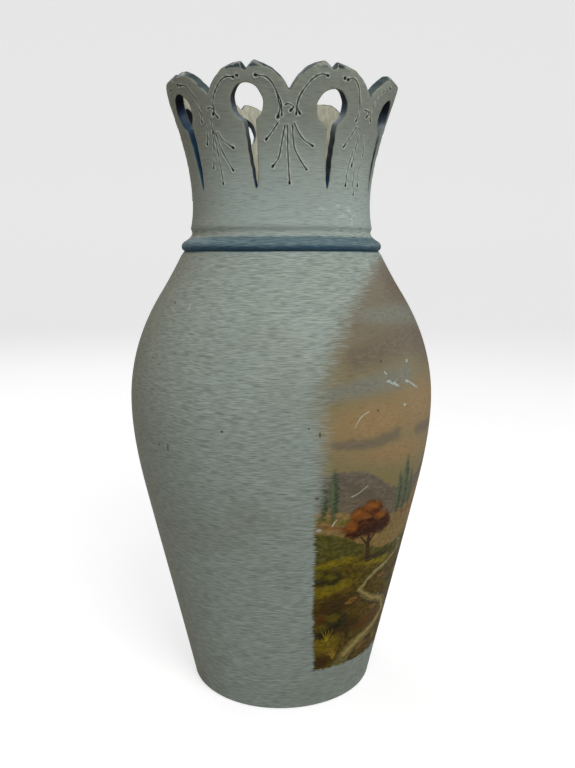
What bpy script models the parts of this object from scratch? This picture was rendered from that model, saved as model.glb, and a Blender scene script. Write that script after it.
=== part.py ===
"""A hand-cut studio vase, as one closed solid at its real size.

The pot is thrown hollow: a foot, a straight flank, a round belly, a moulded ring under a waisted
neck, and a crown that flares out to a chamfered rim. The crown is then cut by hand into eight
lobes. Each lobe has a small notch in its top and a keyhole, a round hole with a long tapering
slit, below it. Strokes incised in the clay and all paint are left to the looks script.

Run it with: blender --background --python part.py
Units are metres and +Z is up. The front of the vase, where the painted panel begins, faces -Y, and
an angle round the pot is counted in degrees from there towards +X.
"""

import math
from dataclasses import dataclass

import bmesh
import bpy

MM = 0.001

# Body
FOOT_RADIUS = 47.4 * MM
FOOT_ROUND = 1.4 * MM
FLANK_RADIUS = 71.1 * MM
FLANK_HEIGHT = 104.0 * MM
BELLY_RADIUS = 77.5 * MM
BELLY_HEIGHT = 150.0 * MM
SHOULDER_RADIUS = 61.2 * MM
SHOULDER_HEIGHT = 204.0 * MM
SHOULDER_SLOPE = -0.63
WALL = 4.6 * MM
FLOOR = 7.0 * MM

# Moulded ring at the foot of the neck
RING_HEIGHT = 224.6 * MM
RING_RADIUS = 50.5 * MM
RING_BAND = 4.2 * MM
RING_COVE = 3.2 * MM
RING_STEP = 0.8 * MM
RING_SEAT_SLOPE = -0.50

# Neck and crown
NECK_RADIUS = 44.6 * MM
NECK_HEIGHT = 247.0 * MM
RIM_RADIUS = 57.3 * MM
RIM_SLOPE = 0.37
RIM_FLAT = 0.8 * MM
RIM_CHAMFER = 3.4 * MM
HEIGHT = 305.0 * MM

# Cuts in the crown. The angles are those of the V cuts between the lobes; the shifts move a lobe's
# notch, and the lower end of its slit, sideways from the lobe's middle. Each list starts with the
# lobe at the left of the front and goes round towards +X.
CUT_ANGLES = (-84.0, -37.0, 4.3, 48.9, 93.0, 138.0, 182.0, 229.0)
NOTCH_SHIFTS = (0.6, 0.8, -2.5, 0.5, -1.0, 1.2, 0.0, -0.8)
SLIT_SHIFTS = (4.0, 2.0, 1.7, 0.5, -1.5, 1.0, -0.6, 1.4)
LOBE_RISE = 11.4 * MM
LOBE_SINK = 1.0 * MM
NOTCH_DEPTH = 3.7 * MM
NOTCH_WIDTH = 5.6 * MM
HOLE_RADIUS = 7.8 * MM
HOLE_DROP = 17.4 * MM
SLIT_LENGTH = 28.0 * MM
SLIT_WIDTH = 5.8 * MM
SLIT_END_WIDTH = 2.4 * MM
SLIT_POINT = 4.0 * MM

# Fineness of the faceted solid, and how far a cutter passes the wall on each side
TURN_STEPS = 60
LOBE_STEPS = 12
HOLE_STEPS = 8
CUT_MARGIN = 3.0 * MM

CLAY_COLOUR = (0.190, 0.215, 0.175, 1.0)
CLAY_ROUGHNESS = 0.85


@dataclass(frozen=True)
class Station:
    """A level of the outer outline: its height, its radius and how fast the radius grows there."""

    height: float
    radius: float
    slope: float


def body_stations():
    """Return the outline's stations from the underside to the rim, with the ring left off."""
    flank_slope = (FLANK_RADIUS - FOOT_RADIUS) / FLANK_HEIGHT
    return (
        Station(0.0, FOOT_RADIUS, flank_slope),
        Station(FLANK_HEIGHT, FLANK_RADIUS, flank_slope),
        Station(BELLY_HEIGHT, BELLY_RADIUS, 0.0),
        Station(SHOULDER_HEIGHT, SHOULDER_RADIUS, SHOULDER_SLOPE),
        Station(RING_HEIGHT, RING_RADIUS - RING_STEP, RING_SEAT_SLOPE),
        Station(NECK_HEIGHT, NECK_RADIUS, 0.0),
        Station(HEIGHT - RIM_CHAMFER, RIM_RADIUS, RIM_SLOPE),
    )


def outline(height):
    """Return the outer radius and its slope at a height, by a cubic curve between two stations."""
    stations = body_stations()
    lower, upper = stations[0], stations[1]
    for first, second in zip(stations, stations[1:]):
        if height >= first.height:
            lower, upper = first, second
    if height > upper.height:
        return upper.radius + upper.slope * (height - upper.height), upper.slope
    span = upper.height - lower.height
    t = (height - lower.height) / span
    radius = (
        lower.radius * (1.0 - 3.0 * t**2 + 2.0 * t**3)
        + upper.radius * (3.0 * t**2 - 2.0 * t**3)
        + span * lower.slope * (t - 2.0 * t**2 + t**3)
        + span * upper.slope * (t**3 - t**2)
    )
    slope = (
        (upper.radius - lower.radius) * (6.0 * t - 6.0 * t**2) / span
        + lower.slope * (1.0 - 4.0 * t + 3.0 * t**2)
        + upper.slope * (3.0 * t**2 - 2.0 * t)
    )
    return radius, slope


def levels(low, high, count):
    """Return evenly spaced heights from low to high, both ends included."""
    return [low + (high - low) * i / count for i in range(count + 1)]


def arc(centre, radius, start, end, steps):
    """Return points (radius from the axis, height) along an arc, its angles in degrees."""
    points = []
    for i in range(steps + 1):
        angle = math.radians(start + (end - start) * i / steps)
        points.append((centre[0] + radius * math.cos(angle), centre[1] + radius * math.sin(angle)))
    return points


def inner_points():
    """Return the hollow's outline from the middle of the floor up to the rim's inner edge."""
    points = [(0.0, FLOOR)]
    heights = levels(FLOOR, FLANK_HEIGHT, 2)
    heights += levels(FLANK_HEIGHT, BELLY_HEIGHT, 3)[1:]
    heights += levels(BELLY_HEIGHT, SHOULDER_HEIGHT, 5)[1:]
    heights += levels(SHOULDER_HEIGHT, NECK_HEIGHT, 4)[1:]
    heights += levels(NECK_HEIGHT, HEIGHT, 5)[1:]
    for height in heights:
        radius, slope = outline(height)
        points.append((radius - WALL * math.hypot(1.0, slope), height))
    return points


def rim_points():
    """Return the rim from the inner edge, over a narrow flat, down its chamfer to the outer wall."""
    inner_radius = inner_points()[-1][0]
    return [(inner_radius + RIM_FLAT, HEIGHT), (RIM_RADIUS, HEIGHT - RIM_CHAMFER)]


def ring_points():
    """Return the ring's outline from the neck down: a hollow cove, then a rounded band."""
    cove_top = RING_HEIGHT + RING_BAND + RING_COVE
    neck_radius = outline(cove_top)[0]
    reach = RING_RADIUS - neck_radius
    points = []
    for i in range(5):
        angle = math.radians(22.5 * i)
        points.append(
            (neck_radius + reach * (1.0 - math.cos(angle)), cove_top - RING_COVE * math.sin(angle))
        )
    round_radius = min(RING_STEP, RING_BAND / 2.0)
    points += arc((RING_RADIUS - round_radius, RING_HEIGHT + round_radius), round_radius, 0, -90, 2)
    return points


def outer_points():
    """Return the outer outline from below the chamfer down to the middle of the underside."""
    neck_top = HEIGHT - RIM_CHAMFER
    cove_top = RING_HEIGHT + RING_BAND + RING_COVE
    points = [(outline(h)[0], h) for h in levels(neck_top, NECK_HEIGHT, 5)[1:]]
    points += [(outline(h)[0], h) for h in levels(NECK_HEIGHT, cove_top, 2)[1:-1]]
    points += ring_points()
    heights = levels(RING_HEIGHT, SHOULDER_HEIGHT, 2)[1:]
    heights += levels(SHOULDER_HEIGHT, BELLY_HEIGHT, 7)[1:]
    heights += levels(BELLY_HEIGHT, FLANK_HEIGHT, 5)[1:]
    points += [(outline(h)[0], h) for h in heights]
    foot_radius = outline(FOOT_ROUND)[0]
    points += arc((foot_radius - FOOT_ROUND, FOOT_ROUND), FOOT_ROUND, 0, -90, 3)
    points.append((0.0, 0.0))
    return points


def on_wall(angle, offset, height):
    """Return a point at an angle in degrees, a distance out of the wall along its normal."""
    radius, slope = outline(height)
    length = math.hypot(1.0, slope)
    reach = radius + offset / length
    turn = math.radians(angle)
    return (reach * math.sin(turn), -reach * math.cos(turn), height - offset * slope / length)


def lobe_spans():
    """Yield each lobe's number, its middle angle and half of its width, in degrees."""
    for number, start in enumerate(CUT_ANGLES):
        end = CUT_ANGLES[(number + 1) % len(CUT_ANGLES)]
        width = (end - start) % 360.0
        yield number, start + width / 2.0, width / 2.0


def crown_line():
    """Return the crown's cut line as (angle, height on the outer wall) all the way round.

    Each lobe is the arc of a circle that rises LOBE_RISE over its two V cuts, less its notch.
    """
    degree = RIM_RADIUS * math.radians(1.0)
    top = HEIGHT - LOBE_SINK
    line = []
    for number, middle, half in lobe_spans():
        reach = half * degree
        radius = (reach**2 + LOBE_RISE**2) / (2.0 * LOBE_RISE)
        shift = NOTCH_SHIFTS[number]
        notch_half = NOTCH_WIDTH / 2.0 / degree
        places = [half * (2.0 * i / LOBE_STEPS - 1.0) for i in range(LOBE_STEPS)]
        places = [p for p in places if abs(p - shift) > notch_half * 1.3]
        places += [shift - notch_half, shift, shift + notch_half]
        for place in sorted(places):
            across = place * degree
            height = top - radius + math.sqrt(max(radius**2 - across**2, 0.0))
            depth = NOTCH_DEPTH * (1.0 - abs(place - shift) / notch_half)
            line.append((middle + place, height - max(depth, 0.0)))
    return line


def keyhole_rows():
    """Return the keyhole's rows from its pointed end up, as (height, half width, share of slit)."""
    centre = HEIGHT - HOLE_DROP
    join = centre - math.sqrt(HOLE_RADIUS**2 - (SLIT_WIDTH / 2.0) ** 2)
    end = join - SLIT_LENGTH
    rows = [(end, 0.0002, 1.0)]
    for height in levels(end + SLIT_POINT, join, 3):
        share = (join - height) / SLIT_LENGTH
        width = SLIT_WIDTH + (SLIT_END_WIDTH - SLIT_WIDTH) * share
        rows.append((height, width / 2.0, share))
    first = math.asin((centre - join) / HOLE_RADIUS)
    for i in range(1, HOLE_STEPS + 1):
        turn = -first + (math.pi / 2.0 + first) * i / HOLE_STEPS
        half_width = max(HOLE_RADIUS * math.cos(turn), 0.0004)
        rows.append((centre + HOLE_RADIUS * math.sin(turn), half_width, 0.0))
    return rows


def new_object(name, points, edges, faces):
    """Add a named mesh object to the scene, with its faces turned outward."""
    mesh = bpy.data.meshes.new(name)
    mesh.from_pydata(points, edges, faces)
    if faces:
        work = bmesh.new()
        work.from_mesh(mesh)
        bmesh.ops.recalc_face_normals(work, faces=work.faces)
        work.to_mesh(mesh)
        work.free()
    piece = bpy.data.objects.new(name, mesh)
    bpy.context.scene.collection.objects.link(piece)
    return piece


def hide_cutter(cutter):
    """Mark an object as a cutter, so that it is neither rendered nor built."""
    cutter.hide_render = True
    cutter.display_type = "WIRE"
    return cutter


def crown_cutter():
    """Make the ring-shaped cutter that takes away all clay above the crown's cut line."""
    points = []
    over = HEIGHT + WALL + 2.0 * CUT_MARGIN
    for angle, height in crown_line():
        outer = on_wall(angle, CUT_MARGIN, height)
        inner = on_wall(angle, -WALL - CUT_MARGIN, height)
        high_inner = on_wall(angle, -WALL - CUT_MARGIN, over)
        high_outer = on_wall(angle, CUT_MARGIN, over)
        points += [outer, inner, high_inner, high_outer]
    count = len(points)
    faces = []
    for start in range(0, count, 4):
        for side in range(4):
            after = (side + 1) % 4
            faces.append(
                (start + side, start + after, (start + after + 4) % count, (start + side + 4) % count)
            )
    return hide_cutter(new_object("crown_cutter", points, [], faces))


def keyhole_cutter():
    """Make the cutter of all eight keyholes, each square to the wall that it goes through."""
    points, faces = [], []
    rows = keyhole_rows()
    for number, middle, _ in lobe_spans():
        base = len(points)
        for height, half_width, share in rows:
            degree = outline(height)[0] * math.radians(1.0)
            angle = middle + SLIT_SHIFTS[number] * share
            for side, offset in ((-1, CUT_MARGIN), (1, CUT_MARGIN), (1, -WALL - CUT_MARGIN),
                                 (-1, -WALL - CUT_MARGIN)):
                points.append(on_wall(angle + side * half_width / degree, offset, height))
        faces.append((base, base + 1, base + 2, base + 3))
        for row in range(len(rows) - 1):
            start = base + 4 * row
            for side in range(4):
                after = (side + 1) % 4
                faces.append((start + side, start + after, start + after + 4, start + side + 4))
        last = base + 4 * (len(rows) - 1)
        faces.append((last + 3, last + 2, last + 1, last))
    return hide_cutter(new_object("keyhole_cutter", points, [], faces))


def add_material(piece, name, colour, roughness):
    """Give a piece its own plain material."""
    material = bpy.data.materials.new(name)
    material.use_nodes = True
    shader = material.node_tree.nodes["Principled BSDF"]
    shader.inputs["Base Color"].default_value = colour
    shader.inputs["Roughness"].default_value = roughness
    shader.inputs["Metallic"].default_value = 0.0
    material.diffuse_color = colour
    piece.data.materials.append(material)


def turned_vase():
    """Turn the closed outline round the upright axis. It runs up the inside and down the outside."""
    profile = inner_points() + rim_points() + outer_points()
    points = [(radius, 0.0, height) for radius, height in profile]
    edges = [(i, i + 1) for i in range(len(points) - 1)]
    piece = new_object("vase", points, edges, [])
    screw = piece.modifiers.new("turn", "SCREW")
    screw.axis = "Z"
    screw.angle = 2.0 * math.pi
    screw.steps = TURN_STEPS
    screw.render_steps = TURN_STEPS
    screw.use_merge_vertices = True
    screw.merge_threshold = 0.00001
    screw.use_smooth_shade = True
    return piece


def cut(piece, cutter):
    """Take a cutter's volume out of a piece."""
    boolean = piece.modifiers.new(cutter.name, "BOOLEAN")
    boolean.operation = "DIFFERENCE"
    boolean.solver = "EXACT"
    boolean.object = cutter


def main():
    """Build the vase in an empty scene."""
    for old in list(bpy.data.objects):
        bpy.data.objects.remove(old, do_unlink=True)
    vase = turned_vase()
    cut(vase, crown_cutter())
    cut(vase, keyhole_cutter())
    add_material(vase, "clay", CLAY_COLOUR, CLAY_ROUGHNESS)


if __name__ == "__main__":
    main()
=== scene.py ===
"""Looks of a hand-cut studio vase: its carved crown, its painted clay and the light on it.

The vase is one fired piece. Its body is turned round the upright axis, and its crown is a wall cut
into eight lobes with notches and keyholes, with strokes incised in the clay. Angles round the pot
count from the front (-Y) towards +X, heights are in metres, and a depth is measured into the wall.
"""

import logging
import math
from dataclasses import dataclass, field
from enum import Enum

import bmesh
import bpy
import numpy as np
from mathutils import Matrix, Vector
from mathutils.geometry import delaunay_2d_cdt


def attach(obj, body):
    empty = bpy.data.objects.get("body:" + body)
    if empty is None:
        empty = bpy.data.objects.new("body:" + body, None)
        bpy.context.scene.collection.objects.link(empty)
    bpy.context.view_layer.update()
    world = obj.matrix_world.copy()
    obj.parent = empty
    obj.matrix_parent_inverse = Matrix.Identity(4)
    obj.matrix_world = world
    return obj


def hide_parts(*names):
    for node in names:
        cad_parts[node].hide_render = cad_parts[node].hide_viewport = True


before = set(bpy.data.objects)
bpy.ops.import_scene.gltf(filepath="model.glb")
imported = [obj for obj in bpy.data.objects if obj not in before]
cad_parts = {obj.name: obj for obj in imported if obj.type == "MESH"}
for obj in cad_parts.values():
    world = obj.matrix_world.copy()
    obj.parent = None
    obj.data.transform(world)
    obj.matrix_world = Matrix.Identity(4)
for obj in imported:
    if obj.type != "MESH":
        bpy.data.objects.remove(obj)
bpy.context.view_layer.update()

LOG = logging.getLogger("vase")
MM = 0.001

# How many points are compared with a whole border at a time, to save memory
BATCH = 1200


# Shapes of the vase


@dataclass(frozen=True)
class VaseSizes:
    """Real sizes of the pot, the same as those of its solid."""

    foot_radius: float = 47.4 * MM
    foot_round: float = 1.4 * MM
    flank_radius: float = 71.1 * MM
    flank_height: float = 104.0 * MM
    belly_radius: float = 77.5 * MM
    belly_height: float = 150.0 * MM
    shoulder_radius: float = 61.2 * MM
    shoulder_height: float = 204.0 * MM
    shoulder_slope: float = -0.63
    wall: float = 4.6 * MM
    floor: float = 7.0 * MM
    ring_height: float = 224.6 * MM
    ring_radius: float = 50.5 * MM
    ring_band: float = 4.2 * MM
    ring_cove: float = 3.2 * MM
    ring_step: float = 0.8 * MM
    ring_seat_slope: float = -0.50
    neck_radius: float = 44.6 * MM
    neck_height: float = 247.0 * MM
    rim_radius: float = 57.3 * MM
    rim_slope: float = 0.37
    rim_flat: float = 0.8 * MM
    rim_chamfer: float = 3.4 * MM
    height: float = 305.0 * MM


class Outline:
    """The pot's outer outline, without its ring, as cubic curves between named stations."""

    def __init__(self, sizes: VaseSizes) -> None:
        """Work out the stations.

        Args:
            sizes: the pot's sizes.
        """
        self.sizes = sizes
        flank = (sizes.flank_radius - sizes.foot_radius) / sizes.flank_height
        stations = np.array([
            (0.0, sizes.foot_radius, flank),
            (sizes.flank_height, sizes.flank_radius, flank),
            (sizes.belly_height, sizes.belly_radius, 0.0),
            (sizes.shoulder_height, sizes.shoulder_radius, sizes.shoulder_slope),
            (sizes.ring_height, sizes.ring_radius - sizes.ring_step, sizes.ring_seat_slope),
            (sizes.neck_height, sizes.neck_radius, 0.0),
            (sizes.height - sizes.rim_chamfer, sizes.rim_radius, sizes.rim_slope),
        ])
        self.heights, self.radii, self.slopes = stations.T

    def at(self, height: np.ndarray) -> tuple[np.ndarray, np.ndarray]:
        """Return the outer radius and its slope at each height.

        Between two stations the radius is the Hermite cubic of their radii and slopes, and above
        the last one it goes on in a straight line.

        Args:
            height: heights above the underside.

        Returns:
            The radii and the slopes.
        """
        height = np.asarray(height, dtype=float)
        low = np.clip(np.searchsorted(self.heights, height, "right") - 1, 0, len(self.heights) - 2)
        span = self.heights[low + 1] - self.heights[low]
        t = (height - self.heights[low]) / span
        r0, r1 = self.radii[low], self.radii[low + 1]
        s0, s1 = self.slopes[low], self.slopes[low + 1]
        radius = (
            r0 * (1 - 3 * t**2 + 2 * t**3)
            + r1 * (3 * t**2 - 2 * t**3)
            + span * s0 * (t - 2 * t**2 + t**3)
            + span * s1 * (t**3 - t**2)
        )
        slope = (
            (r1 - r0) * (6 * t - 6 * t**2) / span
            + s0 * (1 - 4 * t + 3 * t**2)
            + s1 * (3 * t**2 - 2 * t)
        )
        over = height - self.heights[-1]
        above = over > 0
        radius = np.where(above, self.radii[-1] + self.slopes[-1] * over, radius)
        slope = np.where(above, self.slopes[-1], slope)
        return radius, slope

    def on_wall(self, place: np.ndarray, depth: np.ndarray) -> np.ndarray:
        """Return points at places on the wall's outer face, a depth in along its normal.

        Args:
            place: rows of angle and height.
            depth: distances into the wall; less than nothing stands out of it.

        Returns:
            An array of points, three numbers each.
        """
        angle, height = place.T
        radius, slope = self.at(height)
        length = np.hypot(1.0, slope)
        reach = radius - depth / length - unevenness(angle, height)
        level = np.minimum(height + depth * slope / length, self.sizes.height)
        return np.stack([reach * np.sin(angle), -reach * np.cos(angle), level], axis=-1)

    def chamfer_depth(self, height: np.ndarray) -> np.ndarray:
        """Return the rim's chamfer's depth at each height, in proportion to the height above its foot."""
        return np.maximum(height - self.heights[-1], 0.0) * self.chamfer_rate()[0]

    def chamfer_rate(self) -> tuple[float, float]:
        """Work out the chamfer, from where its line meets the rim's flat.

        Returns:
            Its depth for each metre of wall height, and the wall height of its top.
        """
        sizes = self.sizes
        slope = sizes.rim_slope
        length = math.hypot(1.0, slope)
        outer = sizes.rim_radius + slope * sizes.rim_chamfer
        inset = sizes.rim_radius - (outer - sizes.wall * length + sizes.rim_flat)
        per_step = (sizes.rim_chamfer - slope * inset) / length**2
        depth = length * (slope * per_step + inset)
        return depth / per_step, self.heights[-1] + per_step


def unevenness(angle: np.ndarray, height: np.ndarray) -> np.ndarray:
    """Return how far the hand-thrown wall falls short of a true round at each place.

    It is a sum of slow waves round and up the pot, never less than nothing, so the pot stays
    within its solid.

    Args:
        angle: angles round the pot, in radians.
        height: heights above the underside.

    Returns:
        The shortfalls in metres.
    """
    waves = (
        np.sin(2.0 * angle + 0.7 + 9.0 * height)
        + 0.6 * np.sin(3.0 * angle - 1.1 + 31.0 * height)
        + 0.5 * np.sin(5.0 * angle + 55.0 * height)
    )
    return 0.12 * MM * (2.1 + waves)


def catmull_rom(points: np.ndarray, spacing: float) -> np.ndarray:
    """Return a smooth open curve through points, at an even spacing.

    Each stretch is the Catmull-Rom cubic of its four nearest points.

    Args:
        points: the points, in rows.
        spacing: the distance between the returned points.

    Returns:
        The curve's points, in rows.
    """
    ends = np.vstack([2 * points[0] - points[1], points, 2 * points[-1] - points[-2]])
    t = np.linspace(0.0, 1.0, 12, endpoint=False)[:, None]
    stretches = [
        0.5 * (2 * b + (c - a) * t + (2 * a - 5 * b + 4 * c - d) * t**2 + (3 * b - a - 3 * c + d) * t**3)
        for a, b, c, d in zip(ends, ends[1:], ends[2:], ends[3:])
    ]
    return resample(np.vstack(stretches + [points[-1:]]), spacing)


def resample(points: np.ndarray, spacing: float) -> np.ndarray:
    """Return points at an even spacing along a polyline, both of its ends included.

    Args:
        points: the polyline's points, in rows.
        spacing: the distance between the returned points.

    Returns:
        The new points, in rows.
    """
    steps = np.hypot(*np.diff(points, axis=0).T)
    run = np.concatenate([[0.0], np.cumsum(steps)])
    count = max(int(round(run[-1] / spacing)), 1)
    at = np.linspace(0.0, run[-1], count + 1)
    return np.stack([np.interp(at, run, points[:, i]) for i in range(2)], axis=1)


def soften(loop: np.ndarray, rounds: int) -> np.ndarray:
    """Round the corners of a closed loop, as a wet sponge does to cut clay.

    Each round moves every point halfway to the middle of its two neighbours.

    Args:
        loop: the loop's points, in rows.
        rounds: how often the sponge goes round.

    Returns:
        The softened loop.
    """
    for _ in range(rounds):
        loop = 0.5 * loop + 0.25 * (np.roll(loop, 1, axis=0) + np.roll(loop, -1, axis=0))
    return loop


def nearest_gap(points: np.ndarray, border: np.ndarray) -> np.ndarray:
    """Return how far each point is from the nearest point of a border.

    Args:
        points: the points, in rows.
        border: the border's points, in rows.

    Returns:
        The distances.
    """
    nearest = np.empty(len(points))
    for first in range(0, len(points), BATCH):
        some = slice(first, first + BATCH)
        gap = points[some, None, :] - border[None]
        nearest[some] = np.hypot(gap[..., 0], gap[..., 1]).min(axis=1)
    return nearest


class Tail(Enum):
    """How an incised arc beside a keyhole ends."""

    PLAIN = "plain"
    FORKED = "forked"
    DOTTED = "dotted"


@dataclass(frozen=True)
class Lobe:
    """One lobe of the crown, with its keyhole and its incised arcs.

    It starts at a V cut and runs to the next one. Shifts are sideways from its middle, and the
    keyhole's sizes are half widths and heights on the wall.
    """

    cut_degrees: float
    notch_degrees: float = 0.0
    lean: float = 0.0
    hole_shift: float = 0.0
    hole_height: float = 287.6 * MM
    hole_half_width: float = 7.5 * MM
    hole_half_height: float = 7.6 * MM
    slit_shift: float = 0.6 * MM
    slit_half_width: float = 2.6 * MM
    tip_shift: float = 1.2 * MM
    left: Tail = Tail.PLAIN
    right: Tail = Tail.FORKED


LOBES = (
    Lobe(-84.0, 0.6, 0.4, 0.3 * MM, 287.7 * MM, 7.9 * MM, 7.6 * MM, 2.4 * MM, 3.0 * MM, 4.2 * MM,
         Tail.PLAIN, Tail.DOTTED),
    Lobe(-37.0, 0.8, 0.0, 0.0, 288.0 * MM, 7.4 * MM, 7.6 * MM, 0.8 * MM, 2.75 * MM, 1.9 * MM,
         Tail.DOTTED, Tail.FORKED),
    Lobe(4.3, -2.5, -1.2, -0.2 * MM, 286.2 * MM, 7.5 * MM, 7.4 * MM, 0.8 * MM, 2.35 * MM, 1.5 * MM,
         Tail.FORKED, Tail.DOTTED),
    Lobe(48.9, 0.5, 0.0, -0.3 * MM, 286.6 * MM, tip_shift=0.6 * MM),
    Lobe(93.0, -1.0, 0.8, tip_shift=-1.4 * MM, left=Tail.DOTTED, right=Tail.PLAIN),
    Lobe(138.0, 1.2, -0.6, hole_height=286.8 * MM, tip_shift=1.0 * MM, left=Tail.FORKED),
    Lobe(182.0, 0.0, 0.5, 0.4 * MM, tip_shift=-0.6 * MM),
    Lobe(229.0, -0.8, 0.0, hole_height=287.2 * MM, tip_shift=1.4 * MM, left=Tail.DOTTED),
)


@dataclass(frozen=True)
class CrownSizes:
    """Sizes that all cuts of the crown share."""

    lobes: tuple[Lobe, ...] = LOBES
    lobe_rise: float = 11.4 * MM
    lobe_sink: float = 1.0 * MM
    notch_depth: float = 3.7 * MM
    notch_width: float = 5.6 * MM
    slit_top: float = 280.5 * MM
    slit_tip: float = 251.8 * MM
    edge_round: float = 0.55 * MM
    spacing: float = 0.75 * MM

    def middles(self) -> tuple[np.ndarray, np.ndarray]:
        """Find every lobe's middle, halfway between its V cut and the next one.

        Returns:
            The middle angles and the half widths, in radians.
        """
        starts = np.radians(np.array([lobe.cut_degrees for lobe in self.lobes]))
        widths = np.mod(np.roll(starts, -1) - starts, 2.0 * math.pi)
        return starts + widths / 2.0, widths / 2.0


@dataclass(frozen=True)
class Cut:
    """One incised stroke: its line as rows of angle and height, and its half width at each."""

    line: np.ndarray
    width: np.ndarray


class Incisions:
    """Strokes and dots pushed into the soft clay of the crown, with a burr round each.

    They are drawn in millimetres from a lobe's middle or a V cut, with their real heights, and
    are kept as angles and heights.
    """

    thin: float = 0.30 * MM
    dot: float = 0.66 * MM
    burr_width: float = 0.75 * MM
    depth: float = 0.55 * MM
    burr: float = 0.30 * MM
    spacing: float = 0.55 * MM

    right_arc = ((5.5, 298.1), (7.9, 298.2), (10.4, 297.1), (12.3, 294.9), (13.7, 291.6),
                 (14.6, 288.0), (14.8, 285.2), (13.6, 282.0))
    left_arc = ((-5.4, 298.3), (-8.0, 298.6), (-10.7, 297.2), (-13.3, 295.2), (-15.4, 292.0),
                (-16.5, 288.7), (-16.5, 285.6), (-15.0, 283.2))
    fork = ((0.2, 290.6), (1.6, 286.9), (1.6, 281.6))
    sprays = (
        (((-4.8, 279.5), (-4.7, 276.0), (-5.9, 272.2)),
         ((-1.6, 277.4), (-2.4, 271.0), (-3.9, 262.0)),
         ((-0.6, 276.2), (0.0, 268.0), (1.0, 254.6)),
         ((0.3, 276.6), (2.6, 268.0), (7.2, 260.0)),
         ((1.4, 277.4), (4.2, 273.0), (8.4, 269.8)),
         ((-0.9, 282.4), (-1.0, 276.8))),
        (((-4.6, 279.6), (-6.8, 276.4), (-9.6, 273.1)),
         ((-1.9, 278.2), (-2.9, 270.5), (-4.2, 265.0), (-7.2, 261.6)),
         ((-0.4, 278.4), (-0.1, 268.0), (0.7, 254.6)),
         ((1.3, 278.4), (2.9, 269.5), (5.2, 264.0), (8.4, 260.2)),
         ((2.6, 279.2), (4.9, 275.0), (7.4, 272.4), (10.8, 270.5))),
        (((-4.7, 279.8), (-6.6, 275.6), (-10.1, 270.7)),
         ((-3.7, 269.6), (-4.9, 262.0), (-5.8, 253.8)),
         ((-1.4, 279.0), (-2.0, 270.0), (-3.0, 263.0)),
         ((-0.1, 262.5), (-0.2, 256.0), (0.2, 250.2)),
         ((2.7, 263.4), (3.2, 259.0), (3.6, 254.4)),
         ((2.3, 276.6), (3.9, 272.0), (4.4, 268.4))),
    )
    mark = ((-1.9, 286.6), (-0.4, 287.3), (1.9, 285.9), (0.9, 284.6))

    def __init__(self, outline: Outline, crown: CrownSizes) -> None:
        """Lay out every stroke and dot of the crown.

        Args:
            outline: the pot's outline.
            crown: the places of the cuts.
        """
        self.outline = outline
        self.rng = np.random.default_rng(11)
        self.cuts: list[Cut] = []
        for number, (lobe, middle) in enumerate(zip(crown.lobes, crown.middles()[0])):
            self.add_arc(middle, self.left_arc, lobe.left, -1.0)
            self.add_arc(middle, self.right_arc, lobe.right, 1.0)
            spray = self.sprays[(number - 1) % len(self.sprays)]
            self.add_spray(math.radians(lobe.cut_degrees), spray)

    def place(self, base: float, points: np.ndarray) -> np.ndarray:
        """Turn points in millimetres across and up into rows of angle and height."""
        height = points[:, 1] * MM
        return np.stack([base + points[:, 0] * MM / self.outline.at(height)[0], height], axis=1)

    def add_path(self, base: float, points: np.ndarray) -> None:
        """Add one stroke through points in millimetres.

        It starts as a thin scratch, widens a little, and ends in a dot where the tool was lifted:
        the extra width falls off with the square of the distance from the end.

        Args:
            base: the angle that the points are measured from.
            points: rows of across and up, in millimetres.
        """
        line = catmull_rom(points, self.spacing / MM)
        run = np.arange(len(line)) * self.spacing
        left = run[-1] - run
        wave = 1.0 + 0.18 * np.sin(run / (1.3 * MM) + self.rng.uniform(0.0, 6.0))
        end = self.dot * self.rng.uniform(0.8, 1.15)
        width = self.thin * wave + (end - self.thin) * np.exp(-((left / (0.9 * MM)) ** 2))
        self.cuts.append(Cut(self.place(base, line), width))

    def add_dot(self, base: float, point: np.ndarray) -> None:
        """Add a dot, as a very short stroke from a point in millimetres across and up."""
        line = self.place(base, np.stack([point, point + (0.25, -0.15)]))
        self.cuts.append(Cut(line, np.full(2, self.dot * self.rng.uniform(0.8, 1.1))))

    def add_arc(self, base: float, points: tuple, tail: Tail, side: float) -> None:
        """Add the arc on one side of a keyhole, from the dot at its top to its tail.

        Args:
            base: the lobe's middle, in radians.
            points: the arc's points in millimetres.
            tail: how the arc ends.
            side: -1 for the left arc, 1 for the right one.
        """
        line = np.array(points) + self.rng.uniform(-0.35, 0.35, (len(points), 2))
        self.add_path(base, line)
        self.add_dot(base, line[0])
        if tail is Tail.FORKED:
            shape = (np.array(self.fork) - self.fork[0]) * (side, 1.0)
            self.add_path(base, line[4] + shape)
        if tail is Tail.DOTTED:
            self.add_dot(base, line[0] + (-1.9 * side, 0.4))

    def add_spray(self, base: float, spray: tuple) -> None:
        """Add the check mark and the fan of strokes under a V cut.

        Args:
            base: the V cut's angle.
            spray: the fan's strokes, each as points in millimetres.
        """
        for points in spray:
            line = np.array(points) + self.rng.uniform(-0.35, 0.35, (len(points), 2))
            self.add_path(base, line)
        self.add_path(base, np.array(self.mark) + self.rng.uniform(-0.3, 0.3, (len(self.mark), 2)))


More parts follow.
